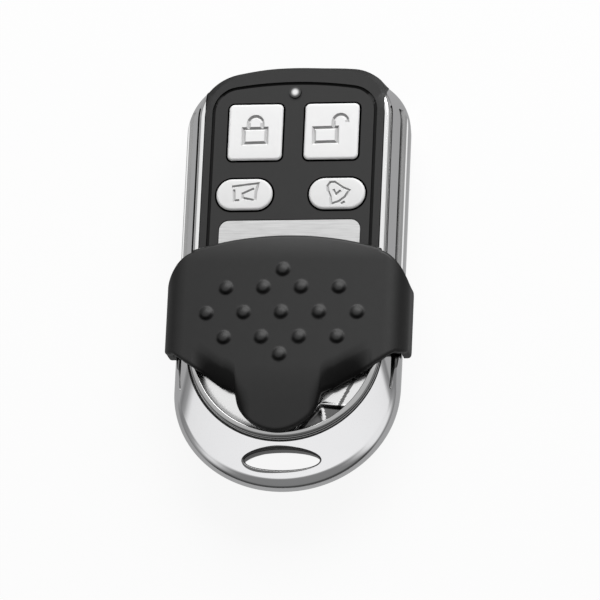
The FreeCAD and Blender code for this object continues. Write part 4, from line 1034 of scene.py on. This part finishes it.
def channel(name, line, wide, deep, x0, y0, closed, finishes):
    """A V-shaped cutter along a line on the key's top."""
    loops = []
    last = len(line) - 1
    half = wide / 2 * (deep + CUTTER_RISE) / deep
    for k, (x, y) in enumerate(line):
        before = line[k - 1 if closed else max(0, k - 1)]
        after = line[(k + 1) % len(line) if closed else min(last, k + 1)]
        reach_in = Vector((x - before[0], y - before[1]))
        reach_out = Vector((after[0] - x, after[1] - y))
        if reach_in.length == 0:
            reach_in = reach_out
        if reach_out.length == 0:
            reach_out = reach_in
        along = (reach_in.normalized() + reach_out.normalized()).normalized()
        widen = half / max(0.5, along.dot(reach_out.normalized()))
        nx, ny = -along.y * widen, along.x * widen
        loops.append(
            [
                (x0 + x + nx, y0 + y + ny, KEY_TOP + CUTTER_RISE),
                (x0 + x - nx, y0 + y - ny, KEY_TOP + CUTTER_RISE),
                (x0 + x, y0 + y, KEY_TOP - deep),
            ]
        )
    if closed:
        loops.append(loops[0])
    return place_shape(name, skin(loops), finishes, None)


def arc_points(cx, cy, rx, ry, first, last, steps=14):
    """Points of an oval arc between two angles in degrees."""
    made = []
    for k in range(steps + 1):
        angle = math.radians(first + (last - first) * k / steps)
        made.append((cx + rx * math.cos(angle), cy + ry * math.sin(angle)))
    return made


# width and depth of the engraved lines
BROAD_LINE, FINE_LINE = (0.66, 0.34), (0.44, 0.26)
# engraving of each key: its kind of line, closed outlines, open lines
SYMBOLS = {
    "lock": (
        BROAD_LINE,
        [[(-1.8, 0.46), (1.74, 0.5), (1.78, -1.82), (-1.74, -1.88)]],
        [[(-1.07, 0.55), *arc_points(0.0, 1.3, 1.07, 1.12, 180.0, 0.0), (1.07, 0.6)]],
    ),
    "unlock": (
        BROAD_LINE,
        [[(-2.7, 0.44), (0.86, 0.5), (0.9, -1.82), (-2.62, -1.88)]],
        [[(0.3, 0.58), *arc_points(1.36, 1.45, 1.06, 1.1, 180.0, -5.0)]],
    ),
    "boot": (
        FINE_LINE,
        [],
        [
            [(-1.95, 1.2), (2.1, 1.65), (1.8, 0.3), (1.75, -0.95)],
            [(-1.6, 0.75), (-1.5, -1.05), (-0.7, -1.0)],
            [(1.5, 0.85), (-0.25, 0.05), (-0.2, -0.65), (1.5, -1.0)],
        ],
    ),
    "alarm": (
        FINE_LINE,
        [[(-1.05, 1.7), (-1.45, 1.1), (-1.35, 0.3), (-0.95, -0.6), (-0.75, -1.75),
          (0.4, -1.35), (1.3, -0.65), (1.9, 0.4), (0.9, 0.85), (0.3, 1.25), (-0.4, 1.75)]],
        [[(-0.55, 0.6), (-0.15, -0.3), (0.6, 0.4)], [(0.75, -1.75), (1.3, -1.4)]],
    ),
}

# width, depth, corner, place across and along, and plastic of each key
KEY_PLACES = {
    "lock": (8.4, 9.0, 0.8, -5.9, 22.7, key_grey),
    "unlock": (8.4, 9.0, 0.8, 5.9, 22.7, key_grey),
    "boot": (8.7, 5.0, 2.45, -7.15, 12.7, pill_grey),
    "alarm": (8.7, 5.0, 2.45, 7.15, 12.7, pill_grey),
}


# painted shade: a wall of the engraving is dark where it faces up the key, grey where it faces
# sideways, and plain where it faces down
DARK_WALL, PLAIN_WALL = 0.3, -0.2


def keys():
    """The four caps with their symbols cut in."""
    for name, (width, depth, corner, x0, y0, material) in KEY_PLACES.items():
        cap = key_cap(name, width, depth, corner, x0, y0, material)
        (wide, deep), outlines, lines = SYMBOLS[name]
        cutters = []
        finishes = (engraving_painted_shade, engraving_painted_half_shade, material)
        for closed, group in ((True, outlines), (False, lines)):
            for line in group:
                cutter = f"{name}_engraving_{len(cutters)}"
                cutters.append(channel(cutter, line, wide, deep, x0, y0, closed, finishes))
        for cutter in cutters:
            for polygon in cutter.data.polygons:
                up = polygon.normal.y
                polygon.material_index = 0 if up > DARK_WALL else 2 if up < PLAIN_WALL else 1
        subtract(cap, cutters)


# Front shell with wider key windows and a fuller hood

WINDOW_GAP = 0.28
WINDOW_LEVELS = (10.25, 12.5)
HOOD_LIFT, HOOD_RIGHT, HOOD_LEFT = 0.2, 0.4, -0.3
# the hood's corner, and the ranges of radius, z and y over which its shift sets in
HOOD_X, HOOD_Y = 7.3, 25.6
HOOD_RADII, HOOD_LEVELS, HOOD_ALONG = (5.2, 6.6), (7.0, 10.0), (26.0, 29.0)
# ranges of x over which the right side's share sets in and the left side's does
HOOD_RIGHT_IN, HOOD_LEFT_IN = (3.0, 10.5), (3.0, 11.5)
# range of x over which the right side's share goes back, and how far
HOOD_BACK, HOOD_BACK_SHARE = (12.0, 13.9), 0.8


def hood_shift(x, y, z):
    """How far the hood's rim moves out, and in which direction."""
    middle = Vector((math.copysign(min(abs(x), HOOD_X), x), HOOD_Y))
    out = Vector((x, y)) - middle
    if y < HOOD_Y or out.length < 1e-6:
        return Vector((0.0, 0.0))
    rim = ease(out.length, *HOOD_RADII) * ease(z, *HOOD_LEVELS) * ease(y, *HOOD_ALONG)
    back = 1 - HOOD_BACK_SHARE * ease(x, *HOOD_BACK)
    fuller = HOOD_RIGHT * ease(x, *HOOD_RIGHT_IN) * back
    amount = HOOD_LIFT + fuller + HOOD_LEFT * ease(-x, *HOOD_LEFT_IN)
    return out.normalized() * amount * rim


TRIM_INNER, TRIM_OUTER, TRIM_TOP, TRIM_FLOOR = 12.2, 12.85, 28.8, 11.0


def in_trim_groove(polygon):
    """Whether a face belongs to the fine groove round the keys."""
    x, y, z = (c / MM for c in polygon.center)
    round_keys = abs(x) < TRIM_OUTER and (abs(x) > TRIM_INNER or y > TRIM_TOP)
    flat_or_upright = not 0.1 < polygon.normal.z < 0.95
    return round_keys and flat_or_upright and TRIM_FLOOR - 0.05 < z < PANEL[0] - 0.01


def front_shell():
    """The panel from its solid's mesh, with the hood's rim moved and the windows widened."""
    shape = bmesh.new()
    shape.from_mesh(nodes["front_shell"].data)
    for vert in shape.verts:
        shift = hood_shift(*(c / MM for c in vert.co))
        vert.co.x += shift.x * MM
        vert.co.y += shift.y * MM
    finishes = (panel_black, trim_groove_painted_shade)
    shell = place_shape("front_cover_panel", shape, finishes, "housing", SHARP, fill=False)
    # the solid's own normals don't fit the moved rim
    normals = shell.data.attributes.get("custom_normal")
    if normals:
        shell.data.attributes.remove(normals)
    # the windows' walls take the cutters' near-black: painted shadow in the gaps round the keys
    cutters = []
    for name, (width, depth, corner, x0, y0, _) in KEY_PLACES.items():
        low, high = (
            (x0 + sign * (width / 2 + WINDOW_GAP), y0 + sign * (depth / 2 + WINDOW_GAP), level)
            for sign, level in zip((-1, 1), WINDOW_LEVELS)
        )
        shape = block(low, high, corner + WINDOW_GAP, 12)
        cutters.append(place_shape(f"{name}_window", shape, [gap_painted_shadow], None))
    # painted shade in the fine groove round the keys
    for polygon in shell.data.polygons:
        if in_trim_groove(polygon):
            polygon.material_index = 1
    subtract(shell, cutters)
    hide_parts("front_shell")


for name, node in nodes.items():
    node.data.materials.clear()
    node.data.materials.append(NODE_FINISH[name])
    soften(node.data, SHARP)

frame_casting()
deck_dish()
cover_shell()
cover_lip("left", -1)
cover_lip("right", 1)
keys()
front_shell()

# Stage, light and camera


def by_ray(tree, usual, shown, share, mirrored, output):
    """One surface for the camera, by a share, another for mirrors, the usual one for the rest."""
    path = tree.nodes.new("ShaderNodeLightPath")
    veil = tree.nodes.new("ShaderNodeMath")
    veil.operation = "MULTIPLY"
    veil.inputs[1].default_value = share
    tree.links.new(path.outputs["Is Camera Ray"], veil.inputs[0])
    seen = tree.nodes.new("ShaderNodeMixShader")
    tree.links.new(veil.outputs["Value"], seen.inputs["Fac"])
    tree.links.new(usual, seen.inputs[1])
    tree.links.new(shown, seen.inputs[2])
    mix = tree.nodes.new("ShaderNodeMixShader")
    tree.links.new(path.outputs["Is Glossy Ray"], mix.inputs["Fac"])
    tree.links.new(seen.outputs["Shader"], mix.inputs[1])
    tree.links.new(mirrored, mix.inputs[2])
    tree.links.new(mix.outputs["Shader"], output.inputs["Surface"])


def one_grey(tree, kind, shade):
    """A diffuse, emission or background node of one grey."""
    made = tree.nodes.new(f"ShaderNode{kind}")
    made.inputs["Color"].default_value = (shade, shade, shade, 1.0)
    return made


# half side and level in metres; the white of the table, its grey in mirrors and the camera's veil
TABLE_HALF, TABLE_LEVEL = 3.0, -0.0001
TABLE_WHITE, TABLE_MIRRORED, TABLE_VEIL = 0.9, 0.40, 0.9


def table_top():
    """Pale table with a faint shadow; mirrors see it as mid grey, so that chrome has its bands."""
    mesh = bpy.data.meshes.new("table_top")
    corners = [
        (TABLE_HALF * x, TABLE_HALF * y, TABLE_LEVEL)
        for x, y in ((-1, -1), (1, -1), (1, 1), (-1, 1))
    ]
    mesh.from_pydata(corners, [], [(0, 1, 2, 3)])
    table = bpy.data.objects.new("table_top", mesh)
    bpy.context.scene.collection.objects.link(table)
    material = bpy.data.materials.new("table_pale")
    material.use_nodes = True
    tree = material.node_tree
    tree.nodes.clear()
    output = tree.nodes.new("ShaderNodeOutputMaterial")
    pale = one_grey(tree, "BsdfDiffuse", TABLE_WHITE).outputs["BSDF"]
    plain = one_grey(tree, "Emission", 1.0).outputs["Emission"]
    mirrored = one_grey(tree, "Emission", TABLE_MIRRORED).outputs["Emission"]
    by_ray(tree, pale, plain, TABLE_VEIL, mirrored, output)
    mesh.materials.append(material)


# height of a direction over the horizon, and the grey that mirrors see there
MIRROR_SKY = ((0.0, 0.34), (0.14, 0.22), (0.32, 0.34), (0.46, 0.88), (0.9, 0.98))
# towards the ring end mirrors see a darker card: its strength, and where it starts and is full
CARD_SHADE, CARD_FROM, CARD_TO = 0.25, 0.40, 0.66
DAYLIGHT = 0.36


def studio_world():
    """Even white light; mirrors see white only overhead and greys towards the horizon."""
    world = bpy.data.worlds.new("studio")
    bpy.context.scene.world = world
    world.use_nodes = True
    tree = world.node_tree
    tree.nodes.clear()
    output = tree.nodes.new("ShaderNodeOutputWorld")
    place = tree.nodes.new("ShaderNodeTexCoord")
    split = tree.nodes.new("ShaderNodeSeparateXYZ")
    tree.links.new(place.outputs["Generated"], split.inputs["Vector"])
    ramp = tree.nodes.new("ShaderNodeValToRGB")
    stops = ramp.color_ramp.elements
    while len(stops) < len(MIRROR_SKY):
        stops.new(0.5)
    for stop, (height, shade) in zip(stops, MIRROR_SKY):
        stop.position = height
        stop.color = (shade, shade, shade, 1.0)
    tree.links.new(split.outputs["Z"], ramp.inputs["Fac"])
    card = tree.nodes.new("ShaderNodeMapRange")
    card.interpolation_type = "SMOOTHSTEP"
    card.inputs["From Min"].default_value = -CARD_TO
    card.inputs["From Max"].default_value = -CARD_FROM
    card.inputs["To Min"].default_value = CARD_SHADE
    card.inputs["To Max"].default_value = 1.0
    tree.links.new(split.outputs["Y"], card.inputs["Value"])
    mirrored = tree.nodes.new("ShaderNodeBackground")
    tree.links.new(ramp.outputs["Color"], mirrored.inputs["Color"])
    tree.links.new(card.outputs["Result"], mirrored.inputs["Strength"])
    even = one_grey(tree, "Background", 1.0)
    even.inputs["Strength"].default_value = DAYLIGHT
    plain = one_grey(tree, "Background", 1.0)
    usual, shown, mirror = (node.outputs["Background"] for node in (even, plain, mirrored))
    by_ray(tree, usual, shown, 1.0, mirror, output)


def soft_light(name, place, target, size, power):
    data = bpy.data.lights.new(name, "AREA")
    data.shape = "RECTANGLE"
    data.size, data.size_y = size
    data.energy = power
    lamp = bpy.data.objects.new(name, data)
    bpy.context.scene.collection.objects.link(lamp)
    lamp.location = place
    aim = Vector(target) - Vector(place)
    lamp.rotation_mode = "QUATERNION"
    lamp.rotation_quaternion = aim.to_track_quat("-Z", "Y")


# angles in degrees, pixels per millimetre and distance in millimetres
VIEW_TURN, VIEW_TILT, VIEW_ROLL = 10.6, 17.3, 2.59
VIEW_SCALE = 6.538
VIEW_DISTANCE = 930.0
# side of the photo in pixels, and where it shows the middle of the indicator
PICTURE = 600
INDICATOR = (0.0, 29.1, 11.4)
INDICATOR_AT = (295.5, 92.6)


def photo_camera():
    """The photo's view: turned to the right, tilted towards the ring end and slightly rolled."""
    turn, tilt, roll = (math.radians(angle) for angle in (VIEW_TURN, VIEW_TILT, VIEW_ROLL))
    right = Vector((math.cos(turn), 0.0, -math.sin(turn)))
    up = Vector(
        (math.sin(turn) * math.sin(tilt), math.cos(tilt), math.cos(turn) * math.sin(tilt))
    )
    axis_x = right * math.cos(roll) + up * math.sin(roll)
    axis_y = -right * math.sin(roll) + up * math.cos(roll)
    back = axis_x.cross(axis_y)
    across = (PICTURE / 2 - INDICATOR_AT[0]) / VIEW_SCALE
    along = (INDICATOR_AT[1] - PICTURE / 2) / VIEW_SCALE
    centre = Vector(INDICATOR) + axis_x * across + axis_y * along
    data = bpy.data.cameras.new("photo_camera")
    data.sensor_width = 36.0
    data.lens = VIEW_SCALE * data.sensor_width * VIEW_DISTANCE / PICTURE
    data.clip_start, data.clip_end = 0.01, 20.0
    camera = bpy.data.objects.new("photo_camera", data)
    bpy.context.scene.collection.objects.link(camera)
    pose = Matrix((axis_x, axis_y, back)).transposed().to_4x4()
    pose.translation = (centre + back * VIEW_DISTANCE) * MM
    camera.matrix_world = pose
    bpy.context.scene.camera = camera


table_top()
studio_world()
soft_light("upper_panel", (0.1, 0.48, 0.4), (0.0, 0.0, 0.0), (0.7, 0.4), 4.2)
photo_camera()
bpy.context.scene.view_settings.view_transform = "Standard"
